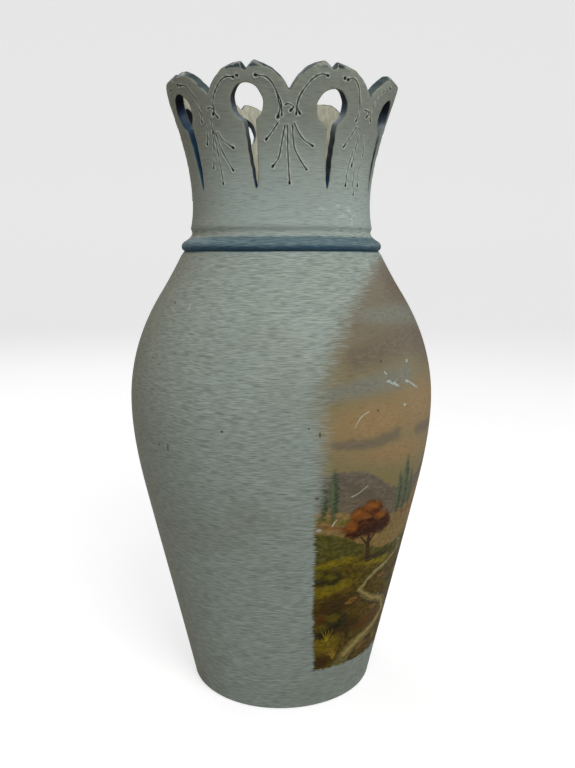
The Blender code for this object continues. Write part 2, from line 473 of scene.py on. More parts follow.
class CrownCuts:
    """The crown's cut line and its keyholes, as closed loops of angle and height."""

    def __init__(self, outline: Outline, crown: CrownSizes) -> None:
        """Keep the pot's outline and the sizes of the cuts."""
        self.outline, self.crown = outline, crown

    def cut_line(self) -> np.ndarray:
        """Work out the scalloped top.

        Over each lobe it is the arc of a circle, pushed a little to one side, less its V notch. It
        is then sponged soft and made a little wavy, as a knife leaves it.

        Returns:
            A closed loop of angles and heights.
        """
        crown, sizes = self.crown, self.outline.sizes
        rows = []
        top_height = self.outline.chamfer_rate()[1]
        for lobe, middle, half in zip(crown.lobes, *crown.middles()):
            reach = half * sizes.rim_radius
            radius = (reach**2 + crown.lobe_rise**2) / (2.0 * crown.lobe_rise)
            across = np.linspace(-reach, reach, 120, endpoint=False)
            height = sizes.height - crown.lobe_sink - radius + np.sqrt(radius**2 - across**2)
            share = across / reach
            height += 2.3 * lobe.lean * MM * share * (1.0 - share**2)
            shift = math.radians(lobe.notch_degrees) * sizes.rim_radius
            notch = np.clip(1.0 - np.abs(across - shift) / (crown.notch_width / 2.0), 0.0, 1.0)
            height = np.minimum(np.minimum(height, top_height), height - crown.notch_depth * notch)
            rows.append(np.stack([middle + across / sizes.rim_radius, height], axis=1))
        line = np.vstack(rows)
        line = np.vstack([line, line[:1] + (2.0 * math.pi, 0.0)])
        scaled = resample(line * (sizes.rim_radius, 1.0), crown.spacing)[:-1]
        turn = np.linspace(0.0, 2.0 * math.pi, len(scaled), endpoint=False)
        wobble = np.sin(29 * turn) + 0.7 * np.sin(53 * turn + 1.0) + 0.5 * np.sin(97 * turn + 2.0)
        straight = np.outer(turn * sizes.rim_radius, (1.0, 0.0))
        scaled = soften(scaled - straight, 2) + straight
        scaled[:, 1] -= 0.12 * MM * (wobble + 2.2)
        return scaled / (sizes.rim_radius, 1.0)

    def keyhole(self, number: int) -> np.ndarray:
        """Return one keyhole as a loop: most of an ellipse, then a slit down to its tip.

        The slit's half width falls as the remaining share of its length to the power 0.6, and its
        middle drifts sideways to the tip.

        Args:
            number: the lobe's number.

        Returns:
            Rows of angle and height, running anticlockwise as seen from outside.
        """
        crown, lobe = self.crown, self.crown.lobes[number]
        rng = np.random.default_rng(40 + number)
        wide, tall = lobe.hole_half_width, lobe.hole_half_height
        share = np.linspace(0.0, 1.0, 30)
        middle = lobe.slit_shift + (lobe.tip_shift - lobe.slit_shift) * share**1.3
        half = lobe.slit_half_width * (1.0 - share) ** 0.6
        height = crown.slit_top + (crown.slit_tip - crown.slit_top) * share
        right = math.acos(np.clip((middle[0] + half[0] - lobe.hole_shift) / wide, -1.0, 1.0))
        left = math.acos(np.clip((middle[0] - half[0] - lobe.hole_shift) / wide, -1.0, 1.0))
        turn = np.linspace(-right, 2.0 * math.pi - left, 70)
        circle = np.stack([lobe.hole_shift + wide * np.cos(turn),
                           lobe.hole_height + tall * np.sin(turn)], axis=1)
        down = np.stack([middle - half, height], axis=1)[2:]
        up = np.stack([middle + half, height], axis=1)[2:-1][::-1]
        loop = np.vstack([circle, down, up, circle[:1]])
        loop = soften(resample(loop, crown.spacing)[:-1], 2)
        along = np.linspace(0.0, 2.0 * math.pi, len(loop), endpoint=False)
        phase = rng.uniform(0.0, 6.0, 2)
        loop[:, 0] += 0.1 * MM * (np.sin(7 * along + phase[0]) + np.sin(17 * along + phase[1]))
        radius = self.outline.at(loop[:, 1])[0]
        return np.stack([crown.middles()[0][number] + loop[:, 0] / radius, loop[:, 1]], axis=1)


@dataclass
class MeshParts:
    """Points, faces and masks gathered for one mesh, stretch by stretch."""

    points: list[np.ndarray] = field(default_factory=list)
    faces: list[np.ndarray] = field(default_factory=list)
    slots: list[np.ndarray] = field(default_factory=list)
    masks: list[np.ndarray] = field(default_factory=list)
    count: int = 0

    def add(
        self, points: np.ndarray, faces: np.ndarray, slot: int | np.ndarray, masks: np.ndarray | None = None
    ) -> None:
        """Add a stretch of surface.

        Args:
            points: its points.
            faces: its faces, as rows of three or four point numbers within the stretch.
            slot: the material slot of all of its faces, or of each.
            masks: for each point, how far it is in a groove, on a burr and near a cut edge.
        """
        if masks is None:
            masks = np.zeros((len(points), 3))
        self.points.append(points)
        self.faces.append(faces + self.count)
        self.slots.append(np.broadcast_to(slot, (len(faces),)))
        self.masks.append(masks)
        self.count += len(points)

    def build(self, name: str, materials: list[bpy.types.Material]) -> bpy.types.Object:
        """Join the stretches into one smooth mesh object and add it to the scene.

        Args:
            name: the object's name.
            materials: its materials, in slot order.

        Returns:
            The object.
        """
        mesh = bpy.data.meshes.new(name)
        faces = [row.tolist() for part in self.faces for row in part]
        mesh.from_pydata(np.vstack(self.points), [], faces)
        mesh.polygons.foreach_set("material_index", np.concatenate(self.slots).astype(np.int32))
        masks = np.vstack(self.masks)
        for column, mask_name in enumerate(("groove", "burr", "edge")):
            layer = mesh.attributes.new(mask_name, "FLOAT", "POINT")
            layer.data.foreach_set("value", masks[:, column].astype(np.float32))
        work = bmesh.new()
        work.from_mesh(mesh)
        bmesh.ops.remove_doubles(work, verts=work.verts, dist=0.002 * MM)
        bmesh.ops.dissolve_degenerate(work, edges=work.edges, dist=0.0005 * MM)
        bmesh.ops.recalc_face_normals(work, faces=work.faces)
        open_edges = sum(1 for edge in work.edges if not edge.is_manifold)
        work.to_mesh(mesh)
        work.free()
        mesh.shade_smooth()
        mesh.set_sharp_from_angle(angle=math.radians(48.0))
        piece = bpy.data.objects.new(name, mesh)
        for material in materials:
            mesh.materials.append(material)
        bpy.context.scene.collection.objects.link(piece)
        triangles = sum(len(face.vertices) - 2 for face in mesh.polygons)
        LOG.info("%s: %d triangles, %d open edges", name, triangles, open_edges)
        return piece


def grid_faces(rows: int, columns: int) -> np.ndarray:
    """Return the quads of a grid of points whose last column joins its first.

    Args:
        rows: how many rows of points there are.
        columns: how many points are in a row.

    Returns:
        Rows of four point numbers.
    """
    row, column = np.meshgrid(np.arange(rows - 1), np.arange(columns), indexing="ij")
    a = row * columns + column
    b = row * columns + (column + 1) % columns
    return np.stack([a, b, b + columns, a + columns], axis=-1).reshape(-1, 4)


class Slot(Enum):
    """The vase's material slots."""

    PAINT = 0
    RIM = 1
    KEYHOLE = 2
    INSIDE = 3
    BARE = 4
    PANEL = 5


class CrownMesh:
    """The cut and incised crown: an outer sheet, an inner sheet and the walls of every cut."""

    outer_spacing: float = 1.9 * MM
    inner_spacing: float = 3.2 * MM
    rim_points: int = 420

    def __init__(self, outline: Outline, crown: CrownSizes, join: float, columns: int) -> None:
        """Work out the crown's loops.

        Args:
            outline: the pot's outline.
            crown: sizes of the cuts.
            join: the height at which the crown meets the turned body.
            columns: how many points go round that join.
        """
        self.outline = outline
        self.crown = crown
        self.join = join
        self.columns = columns
        cuts = CrownCuts(outline, crown)
        self.loops = [cuts.cut_line()] + [cuts.keyhole(i) for i in range(len(crown.lobes))]
        heights = np.linspace(join - 2.0 * MM, outline.sizes.height + 4.0 * MM, 600)
        radius, slope = outline.at(heights)
        rate = np.hypot(1.0, slope) / radius
        steps = (rate[1:] + rate[:-1]) / 2.0 * np.diff(heights)
        self.table = heights, np.concatenate([[0.0], np.cumsum(steps)])

    def to_plane(self, place: np.ndarray) -> np.ndarray:
        """Unroll rows of angle and height onto a flat ring that keeps small shapes and has no seam."""
        # The distance from the ring's middle is e to the power of the run up the wall over its radius
        reach = np.exp(np.interp(place[:, 1], *self.table))
        return np.stack([reach * np.sin(place[:, 0]), -reach * np.cos(place[:, 0])], axis=1)

    def from_plane(self, flat: np.ndarray) -> np.ndarray:
        """Turn points of the flat ring back into places on the wall.

        Args:
            flat: points of the flat ring.

        Returns:
            Rows of angle and height.
        """
        reach = np.log(np.hypot(*flat.T))
        height = np.interp(reach, self.table[1], self.table[0])
        return np.stack([np.arctan2(flat[:, 0], -flat[:, 1]), height], axis=1)

    def scale(self, place: np.ndarray) -> np.ndarray:
        """Return the metres on the wall for one unit of the flat ring, at each place."""
        return self.outline.at(place[:, 1])[0] / np.exp(np.interp(place[:, 1], *self.table))

    def shift_loop(self, loop: np.ndarray, offset: np.ndarray) -> np.ndarray:
        """Move a loop into the clay, along its mean normal at each point.

        Args:
            loop: rows of angle and height.
            offset: how far each point moves, in metres.

        Returns:
            The moved loop.
        """
        radius, slope = self.outline.at(loop[:, 1])
        metres = np.stack([radius, np.hypot(1.0, slope)], axis=1)
        ahead = np.roll(loop, -1, axis=0) - loop
        ahead[:, 0] = np.mod(ahead[:, 0] + math.pi, 2.0 * math.pi) - math.pi
        ahead = ahead * metres
        behind = np.roll(ahead, 1, axis=0)
        ahead /= np.hypot(*ahead.T)[:, None]
        behind /= np.hypot(*behind.T)[:, None]
        along = ahead + behind
        along /= np.maximum(np.hypot(*along.T), 0.6)[:, None]
        normal = np.stack([along[:, 1], -along[:, 0]], axis=1)
        return loop + normal * np.asarray(offset)[:, None] / metres

    def edge_round(self, loop: np.ndarray) -> np.ndarray:
        """Return the rounding of the cut's edge at each point, less where the rim is thin."""
        thickness = self.outline.sizes.wall - self.outline.chamfer_depth(loop[:, 1])
        return np.minimum(self.crown.edge_round, 0.42 * thickness)

    def wall_rows(self, loop: np.ndarray) -> list[tuple[np.ndarray, np.ndarray]]:
        """Work out the rows of a cut's wall, from the outer face to the inner one.

        Both edges are quarter circles: at a turn t the offset is the rounding times 1 - sin t, and
        the depth is the rounding times 1 - cos t.

        Args:
            loop: the cut, in angle and height.

        Returns:
            Each row's shifted loop and its depths.
        """
        rounding = self.edge_round(loop)
        wall = self.outline.sizes.wall
        rows = []
        for turn in np.radians((0.0, 30.0, 60.0, 90.0)):
            shifted = self.shift_loop(loop, rounding * (1.0 - math.sin(turn)))
            depth = self.outline.chamfer_depth(shifted[:, 1])
            rows.append((shifted, depth + rounding * (1.0 - math.cos(turn))))
        outer, inner = rows[-1][1], wall - rounding
        for share in (0.33, 0.67):
            rows.append((loop, outer + (inner - outer) * share))
        for turn in np.radians((90.0, 45.0, 0.0)):
            shifted = self.shift_loop(loop, rounding * (1.0 - math.sin(turn)))
            rows.append((shifted, wall - rounding * (1.0 - math.cos(turn))))
        return rows

    def add_walls(self, parts: MeshParts) -> tuple[list[np.ndarray], list[np.ndarray]]:
        """Add the walls of every cut.

        Args:
            parts: the mesh so far.

        Returns:
            The loops where the outer and the inner sheet begin.
        """
        outer_loops, inner_loops = [], []
        for number, loop in enumerate(self.loops):
            rows = self.wall_rows(loop)
            outer_loops.append(rows[0][0])
            inner_loops.append(rows[-1][0])
            points = np.vstack([self.outline.on_wall(place, depth) for place, depth in rows])
            faces = grid_faces(len(rows), len(loop))
            masks = np.zeros((len(points), 3))
            near = np.array((1.0, 0.9, 0.6, 0.35, 0.0, 0.0, 0.3, 0.7, 0.9))
            masks[:, 2] = np.repeat(near, len(loop))
            row_of_face = np.repeat(np.arange(len(rows) - 1), len(loop))
            cut_slot = Slot.KEYHOLE if number else Slot.RIM
            slot = np.where(row_of_face < 1, Slot.PAINT.value, cut_slot.value)
            parts.add(points, faces, slot, masks)
        return outer_loops, inner_loops

    def stroke_lines(self, incisions: Incisions) -> tuple[list[np.ndarray], np.ndarray]:
        """Lay out the lines that carry the strokes' relief.

        Every stroke has seven lines: its bed, both edges, and the crest and the toe of each burr.

        Args:
            incisions: the strokes.

        Returns:
            The lines on the flat ring, and the loose points round the strokes' ends.
        """
        lines, loose = [], []
        fan = np.radians(np.arange(0.0, 360.0, 40.0))
        for cut in incisions.cuts:
            flat = self.to_plane(cut.line)
            along = np.gradient(flat, axis=0)
            normal = np.stack([-along[:, 1], along[:, 0]], axis=1) / np.hypot(*along.T)[:, None]
            per_metre = 1.0 / self.scale(cut.line)[:, None]
            width = cut.width[:, None]
            steps = (width * 0.0, width, width + incisions.burr_width / 2,
                     width + incisions.burr_width)
            lines.append(flat)
            lines += [flat + normal * per_metre * step * side for step in steps[1:] for side in (-1, 1)]
            for end in (0, -1):
                for step in (width / 2, *steps[1:]):
                    ring = np.stack([np.cos(fan), np.sin(fan)], axis=1) * step[end] * per_metre[end]
                    loose.append(flat[end] + ring)
        return lines, np.vstack(loose)

    def relief(self, place: np.ndarray, incisions: Incisions) -> np.ndarray:
        """Return the relief's height, and the groove and burr masks, at rows of angle and height.

        With d the distance to a stroke's line and w its half width there, the trough's depth is
        1 - (d / w) squared, and past it a burr swells and falls as the square of a sine.

        Args:
            place: rows of angle and height.
            incisions: the strokes.

        Returns:
            Rows of height, groove mask and burr mask.
        """
        flat, scale = self.to_plane(place), self.scale(place)
        starts = np.vstack([self.to_plane(cut.line)[:-1] for cut in incisions.cuts])
        ends = np.vstack([self.to_plane(cut.line)[1:] for cut in incisions.cuts])
        first = np.concatenate([cut.width[:-1] for cut in incisions.cuts])
        last = np.concatenate([cut.width[1:] for cut in incisions.cuts])
        run = ends - starts
        result = np.zeros((len(place), 3))
        for begin in range(0, len(place), BATCH):
            some = slice(begin, begin + BATCH)
            offset = flat[some, None, :] - starts[None]
            share = np.clip((offset * run).sum(-1) / (run**2).sum(-1), 0.0, 1.0)
            gap = offset - share[..., None] * run
            distance = np.hypot(gap[..., 0], gap[..., 1]) * scale[some, None]
            width = first + share * (last - first)
            strength = np.clip(0.55 + 0.45 * (width - incisions.thin) / incisions.dot, 0.5, 1.0)
            trough = strength * np.clip(1.0 - (distance / width) ** 2, 0.0, 1.0)
            swell = np.clip((distance - width) / incisions.burr_width, 0.0, 1.0)
            burr = strength * np.sin(math.pi * swell) ** 2
            result[some, 1] = trough.max(axis=1)
            result[some, 2] = burr.max(axis=1)
        lumps = 0.75 + 0.35 * np.sin(1400.0 * place[:, 1] + 97.0 * place[:, 0])
        result[:, 2] *= np.clip(lumps, 0.2, 1.0) * (result[:, 1] < 0.02)
        result[:, 0] = incisions.burr * result[:, 2] - incisions.depth * result[:, 1]
        return result

    def fill_points(self, loops: list[np.ndarray], taken: np.ndarray, spacing: float) -> np.ndarray:
        """Return points that fill the crown evenly, clear of the loops and of taken places.

        Args:
            loops: the sheet's loops, in angle and height.
            taken: points of the flat ring that already carry the mesh.
            spacing: the distance between fill points on the wall.

        Returns:
            Points of the flat ring.
        """
        low, high = self.table[1][0], self.table[1][-1]
        turn = spacing / 50.0 / MM
        rows = np.arange(low, high, turn * 0.87)
        columns = np.arange(0.0, 2.0 * math.pi - turn / 2, turn)
        run, angle = np.meshgrid(rows, columns, indexing="ij")
        angle = angle + (np.arange(len(rows)) % 2)[:, None] * turn / 2
        flat = np.stack([np.exp(run) * np.sin(angle), -np.exp(run) * np.cos(angle)], axis=-1)
        flat = flat.reshape(-1, 2)
        edges = self.clay_edges(loops)
        flat = flat[self.inside(flat, edges)]
        nearest = nearest_gap(flat, np.vstack([*edges, taken]))
        return flat[nearest > 0.45 * turn * np.hypot(*flat.T)]

    def join_ring(self) -> np.ndarray:
        """Return the ring of points where the crown meets the body, on the flat ring."""
        angle = np.arange(self.columns) * 2.0 * math.pi / self.columns
        return self.to_plane(np.stack([angle, np.full(self.columns, self.join)], axis=1))

    def clay_edges(self, loops: list[np.ndarray]) -> list[np.ndarray]:
        """Return a sheet's loops on the flat ring, and last the ring where it meets the body."""
        return [self.to_plane(loop) for loop in loops] + [self.join_ring()]

    @staticmethod
    def inside(points: np.ndarray, loops: list[np.ndarray]) -> np.ndarray:
        """Say which points lie in the clay, by how often a ray to the right crosses the loops.

        Args:
            points: points of the flat ring.
            loops: the closed loops of the clay's edges.

        Returns:
            True for each point in the clay.
        """
        starts = np.vstack(loops)
        ends = np.vstack([np.roll(loop, -1, axis=0) for loop in loops])
        odd = np.zeros(len(points), dtype=bool)
        for first in range(0, len(points), BATCH):
            some = slice(first, first + BATCH)
            x, y = points[some, 0][:, None], points[some, 1][:, None]
            straddles = (starts[:, 1] > y) != (ends[:, 1] > y)
            with np.errstate(divide="ignore", invalid="ignore"):
                cross = starts[:, 0] + (y - starts[:, 1]) * (ends[:, 0] - starts[:, 0]) / (
                    ends[:, 1] - starts[:, 1]
                )
            odd[some] = (straddles & (x < cross)).sum(axis=1) % 2 == 1
        return odd

    def triangulate(
        self, loops: list[np.ndarray], lines: list[np.ndarray], loose: np.ndarray, spacing: float
    ) -> tuple[np.ndarray, np.ndarray]:
        """Fill the clay between the loops with triangles that follow every line.

        Args:
            loops: the sheet's loops, in angle and height.
            lines: open lines on the flat ring that edges must follow.
            loose: further points on the flat ring.
            spacing: how far apart the fill points are.

        Returns:
            Rows of angle and height, and triangles.
        """
        flat_loops = self.clay_edges(loops)
        points, edges, count = [], [], 0
        for chain in flat_loops:
            number = np.arange(len(chain)) + count
            edges.append(np.stack([number, np.roll(number, -1)], axis=1))
            points.append(chain)
            count += len(chain)
        for chain in lines:
            number = np.arange(len(chain) - 1) + count
            edges.append(np.stack([number, number + 1], axis=1))
            points.append(chain)
            count += len(chain)
        taken = np.vstack(lines + [loose]) if lines else np.zeros((0, 2))
        points += [loose, self.fill_points(loops, taken, spacing)]
        flat = np.vstack(points)
        cut = delaunay_2d_cdt(
            [Vector(row) for row in flat.tolist()], np.vstack(edges).tolist(), [], 0, 1e-6, False
        )
        flat = np.array([tuple(v) for v in cut[0]])
        faces = np.array(cut[2])
        faces = faces[self.inside(flat[faces].mean(axis=1), flat_loops)]
        return self.from_plane(flat), faces

    def edge_mask(self, place: np.ndarray, loops: list[np.ndarray]) -> np.ndarray:
        """Mark the cut edges, as e to the power of minus the distance in near millimetres.

        Args:
            place: rows of angle and height.
            loops: the cuts, in angle and height.

        Returns:
            One at a cut edge, falling away over about a millimetre.
        """
        border = np.vstack([self.to_plane(loop) for loop in loops])
        nearest = nearest_gap(self.to_plane(place), border)
        return np.exp(-nearest * self.scale(place) / (1.1 * MM))

    def add_sheets(self, parts: MeshParts, incisions: Incisions) -> None:
        """Add the cut walls, the incised outer sheet and the plain inner sheet.

        Args:
            parts: the mesh so far.
            incisions: the incised strokes.
        """
        outer_loops, inner_loops = self.add_walls(parts)
        lines, loose = self.stroke_lines(incisions)
        rim = self.outline.heights[-1]
        turn = np.linspace(0.0, 2.0 * math.pi, self.rim_points)
        for height in (rim - 0.35 * MM, rim, rim + 0.2 * MM):
            lines.append(self.to_plane(np.stack([turn, np.full(self.rim_points, height)], axis=1)))
        flat_outer = self.clay_edges(outer_loops)
        lines = [piece for line in lines for piece in self.clip(line, flat_outer)]
        loose = loose[self.inside(loose, flat_outer)]
        place, faces = self.triangulate(outer_loops, lines, loose, self.outer_spacing)
        relief = self.relief(place, incisions)
        depth = self.outline.chamfer_depth(place[:, 1]) - relief[:, 0]
        masks = np.stack([relief[:, 1], relief[:, 2], self.edge_mask(place, outer_loops)], axis=1)
        chamfered = place[faces, 1].mean(axis=1) > rim
        slots = np.where(chamfered, Slot.RIM.value, Slot.PAINT.value)
        parts.add(self.outline.on_wall(place, depth), faces, slots, masks)
        LOG.info("outer sheet: %d triangles", len(faces))
        place, faces = self.triangulate(inner_loops, [], np.zeros((0, 2)), self.inner_spacing)
        masks = np.zeros((len(place), 3))
        masks[:, 2] = self.edge_mask(place, inner_loops)
        points = self.outline.on_wall(place, np.full(len(place), self.outline.sizes.wall))
        parts.add(points, faces[:, ::-1], Slot.INSIDE.value, masks)
        LOG.info("inner sheet: %d triangles", len(faces))

    def clip(self, line: np.ndarray, loops: list[np.ndarray]) -> list[np.ndarray]:
        """Cut a line into the stretches that keep clear of every cut edge.

        Args:
            line: points of the flat ring.
            loops: the clay's edges there, the join's ring last.

        Returns:
            The stretches that stay.
        """
        nearest = nearest_gap(line, np.vstack(loops[:-1]))
        limit = 0.5 * MM / self.scale(self.from_plane(line))
        keep = self.inside(line, loops) & (nearest > limit)
        breaks = np.flatnonzero(np.diff(keep.astype(int))) + 1
        return [part for part, good in zip(np.split(line, breaks), np.split(keep, breaks))
                if good[0] and len(part) > 1]


class Vase:
    """The whole vase: the turned body and the cut crown, as one piece."""

    columns: int = 240
    ring_sweep: float = 3.6 * MM
    # The ring from its sweep down: millimetres out from its radius and up from its lower edge
    ring_steps = ((-5.35, 9.0), (-4.95, 7.6), (-4.1, 6.5), (-2.8, 5.5), (-1.4, 4.6), (-0.4, 3.6),
                  (0.0, 2.5), (-0.05, 1.6), (-0.45, 0.7), (-1.3, 0.0))
    # The faces that carry the panel, by their angles and their heights
    panel_degrees = (5.0, 135.0)
    panel_heights = (15.0 * MM, 224.0 * MM)

    def __init__(self, sizes: VaseSizes, crown: CrownSizes) -> None:
        """Keep the sizes.

        Args:
            sizes: the pot's sizes.
            crown: sizes of the cuts.
        """
        self.sizes = sizes
        self.crown = crown
        self.outline = Outline(sizes)

    def ring_top(self) -> float:
        """Return the height at which the neck starts to sweep out to the ring."""
        sizes = self.sizes
        return sizes.ring_height + sizes.ring_band + sizes.ring_cove + self.ring_sweep

    def ring_profile(self) -> np.ndarray:
        """Work out the ring's outline from the neck down, a smooth curve through a few points.

        The neck sweeps out into a soft bead, widest below its middle, with a tucked lower edge.

        Returns:
            Rows of radius and height.
        """
        top = self.ring_top()
        neck = self.outline.at(np.array(top))[0]
        corner = np.array((self.sizes.ring_radius, self.sizes.ring_height))
        points = np.vstack([(neck, top), corner + np.array(self.ring_steps) * MM])
        return catmull_rom(points, 0.5 * MM)

    def outer_profile(self) -> np.ndarray:
        """Work out the outside, from the neck down to the underside's middle.

        Returns:
            Rows of radius and height.
        """
        sizes = self.sizes
        neck = np.linspace(sizes.neck_height, self.ring_top(), 9)[:-1]
        body = np.linspace(sizes.ring_height, sizes.foot_round, 104)[1:-1]
        foot = self.outline.at(np.array(sizes.foot_round))[0] - sizes.foot_round
        turn = np.radians(np.linspace(0.0, -90.0, 6))
        rounding = np.stack([foot + sizes.foot_round * np.cos(turn),
                             sizes.foot_round * (1.0 + np.sin(turn))], axis=1)
        under = np.stack([foot * np.array((0.93, 0.75, 0.5, 0.25, 0.0)), np.zeros(5)], axis=1)
        return np.vstack([
            np.stack([self.outline.at(neck)[0], neck], axis=1),
            self.ring_profile(),
            np.stack([self.outline.at(body)[0], body], axis=1),
            rounding,
            under,
        ])

    def inner_profile(self) -> np.ndarray:
        """Work out the inside, from the neck down to the floor's middle.

        It is the outside moved in along its normal by the wall, with a rounded corner at the floor.

        Returns:
            Rows of radius and height.
        """
        sizes = self.sizes
        height = np.linspace(sizes.neck_height, sizes.floor, 48)
        radius, slope = self.outline.at(height)
        length = np.hypot(1.0, slope)
        wall = np.stack([radius - sizes.wall / length, height + sizes.wall * slope / length], axis=1)
        corner = 5.0 * MM
        wall = wall[wall[:, 1] > sizes.floor + corner]
        foot = wall[-1, 0] - corner
        turn = np.radians(np.linspace(0.0, -90.0, 5))[1:]
        rounding = np.stack([foot + corner * np.cos(turn),
                             sizes.floor + corner * (1.0 + np.sin(turn))], axis=1)
        floor = np.stack([foot * np.array((0.75, 0.5, 0.25, 0.0)), np.full(4, sizes.floor)], axis=1)
        return np.vstack([wall, rounding, floor])

    def turn(self, profile: np.ndarray) -> np.ndarray:
        """Carry a profile round the axis, a little out of true as a thrown pot is.

        Args:
            profile: rows of radius and height.

        Returns:
            The points, one row of columns for each of the profile's.
        """
        angle = np.arange(self.columns) * 2.0 * math.pi / self.columns
        radius, height = profile[:, :1], profile[:, 1:]
        level = np.clip(height, 0.0, self.sizes.height)
        short = unevenness(angle[None], level) * np.clip(radius / (20.0 * MM), 0.0, 1.0)
        reach = radius - short
        return np.stack([
            reach * np.sin(angle), -reach * np.cos(angle), np.broadcast_to(height, reach.shape)
        ], axis=-1).reshape(-1, 3)

    def add_body(self, parts: MeshParts) -> None:
        """Add the turned body, outside and inside.

        Args:
            parts: the mesh so far.
        """
        outer, inner = self.outer_profile(), self.inner_profile()
        faces = grid_faces(len(outer), self.columns)
        level = np.repeat(outer[:-1, 1] + outer[1:, 1], self.columns) / 2.0
        angle = np.tile((np.arange(self.columns) + 0.5) * 360.0 / self.columns, len(outer) - 1)
        (left, right), (low, high) = self.panel_degrees, self.panel_heights
        panel = (angle > left) & (angle < right) & (level > low) & (level < high)
        slot = np.where(panel, Slot.PANEL.value, Slot.PAINT.value)
        slot = np.where(level < 0.2 * MM, Slot.BARE.value, slot)
        parts.add(self.turn(outer), faces, slot)
        parts.add(self.turn(inner), grid_faces(len(inner), self.columns)[:, ::-1], Slot.INSIDE.value)

    def make(self) -> bpy.types.Object:
        """Build the vase as one piece that stands for its solid.

        Returns:
            The finished piece.
        """
        parts = MeshParts()
        self.add_body(parts)
        crown = CrownMesh(self.outline, self.crown, self.sizes.neck_height, self.columns)
        crown.add_sheets(parts, Incisions(self.outline, self.crown))
        piece = parts.build("painted_vase", Finishes().all())
        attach(piece, "root")
        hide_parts("vase")
        return piece


# Finishes


Colour = tuple[int, int, int]
Point = tuple[float, float]
Socket = bpy.types.NodeSocket
Value = float | tuple[float, ...] | Socket


def linear(colour: Colour) -> tuple[float, float, float, float]:
    """Return a screen colour as linear light, by the usual screen curve.

    Args:
        colour: its red, green and blue, each from 0 to 255.

    Returns:
        Linear red, green and blue, and an alpha of one.
    """
    parts = np.array(colour) / 255.0
    light = np.where(parts <= 0.04045, parts / 12.92, ((parts + 0.055) / 1.055) ** 2.4)
    return (float(light[0]), float(light[1]), float(light[2]), 1.0)


class Tree:
    """Builds shader nodes, with each input given as a value or as another node's output."""

    def __init__(self, tree: bpy.types.NodeTree) -> None:
        """Keep the tree that gets the nodes."""
        self.tree = tree

    def node(self, kind: str, inputs: dict | None = None, **settings: object) -> bpy.types.Node:
        """Add a node.

        Args:
            kind: the node's type, without its first word.
            inputs: values or outputs for its inputs, by name or number.
            settings: its settings.

        Returns:
            The node.
        """
        node = self.tree.nodes.new("ShaderNode" + kind)
        for name, value in settings.items():
            setattr(node, name, value)
        for key, value in (inputs or {}).items():
            if isinstance(value, Socket):
                self.tree.links.new(value, node.inputs[key])
            else:
                node.inputs[key].default_value = value
        return node

    def math(self, operation: str, *values: Value) -> Socket:
        """Return the result of a sum, product or like operation."""
        return self.node("Math", dict(enumerate(values)), operation=operation).outputs[0]

    def vector(self, operation: str, *values: Value) -> Socket:
        """Return the result of an operation on vectors."""
        node = self.node("VectorMath", dict(enumerate(values)), operation=operation)
        return node.outputs[1 if operation in ("LENGTH", "DOT_PRODUCT") else 0]

    def mix(self, share: Value, first: Value, second: Value) -> Socket:
        """Return a blend of two colours."""
        return self.node("Mix", {0: share, 6: first, 7: second}, data_type="RGBA").outputs[2]

    def step(self, value: Value, low: Value, high: Value, top: Value = 1.0) -> Socket:
        """Return a soft step: nothing up to low, and top from high on."""
        inputs = {"Value": value, "From Min": low, "From Max": high, "To Max": top}
        return self.node("MapRange", inputs, interpolation_type="SMOOTHSTEP").outputs[0]

    def wash(self, under: Value, colour: Colour, value: Value, low: Value, high: Value,
             top: Value = 1.0) -> Socket:
        """Return one colour laid over another, as a soft step of a value from low to high."""
        return self.mix(self.step(value, low, high, top), under, linear(colour))

    def waver(self, value: Value, noise: Socket, reach: Value) -> Socket:
        """Return a value that a noise around a half moves up and down over a reach."""
        return self.math("MULTIPLY_ADD", self.math("SUBTRACT", noise, 0.5), reach, value)

    def pot_place(self) -> tuple[Socket, Socket]:
        """Return the place on the pot in metres, and its height in millimetres."""
        raw = self.node("TexCoord").outputs["Object"]
        return raw, self.math("MULTIPLY", self.node("SeparateXYZ", {0: raw}).outputs[2], 1.0 / MM)

    def noise(self, place: Socket, scale: tuple[float, float, float], detail: float = 3.0) -> Socket:
        """Return smooth noise around a half, with its own scale along each axis."""
        inputs = {"Vector": self.vector("MULTIPLY", place, scale), "Scale": 1.0, "Detail": detail}
        return self.node("TexNoise", inputs).outputs[0]

    def attribute(self, name: str) -> Socket:
        """Return one of the mesh's own masks."""
        return self.node("Attribute", attribute_name=name).outputs["Fac"]

    def curve(self, value: Socket, points: tuple[Point, ...]) -> Socket:
        """Return a smooth curve through points, read at a value.

        Args:
            value: where to read the curve.
            points: the curve's points, from left to right.

        Returns:
            The curve's height there.
        """
        table = np.array(points)
        low, span = table.min(axis=0), np.ptp(table, axis=0)
        share = self.math("DIVIDE", self.math("SUBTRACT", value, low[0]), span[0])
        node = self.node("FloatCurve", {"Value": share})
        curve = node.mapping.curves[0]
        for row in ((table - low) / span)[1:-1]:
            curve.points.new(*row)
        for end, row in ((0, 0), (-1, -1)):
            curve.points[end].location = (table[row] - low) / span
        node.mapping.update()
        return self.math("MULTIPLY_ADD", node.outputs[0], float(span[1]), float(low[1]))

    def ramp(self, value: Socket, stops: tuple[tuple[float, Colour], ...]) -> Socket:
        """Return a colour ramp over a value.

        Args:
            value: what the ramp is read at.
            stops: the ramp's places and colours, in order.

        Returns:
            The colour there.
        """
        low, high = stops[0][0], stops[-1][0]
        share = self.math("DIVIDE", self.math("SUBTRACT", value, low), high - low)
        node = self.node("ValToRGB", {0: share})
        elements = node.color_ramp.elements
        for place, _ in stops[1:-1]:
            elements.new((place - low) / (high - low))
        for element, (_, colour) in zip(elements, stops):
            element.color = linear(colour)
        return node.outputs[0]


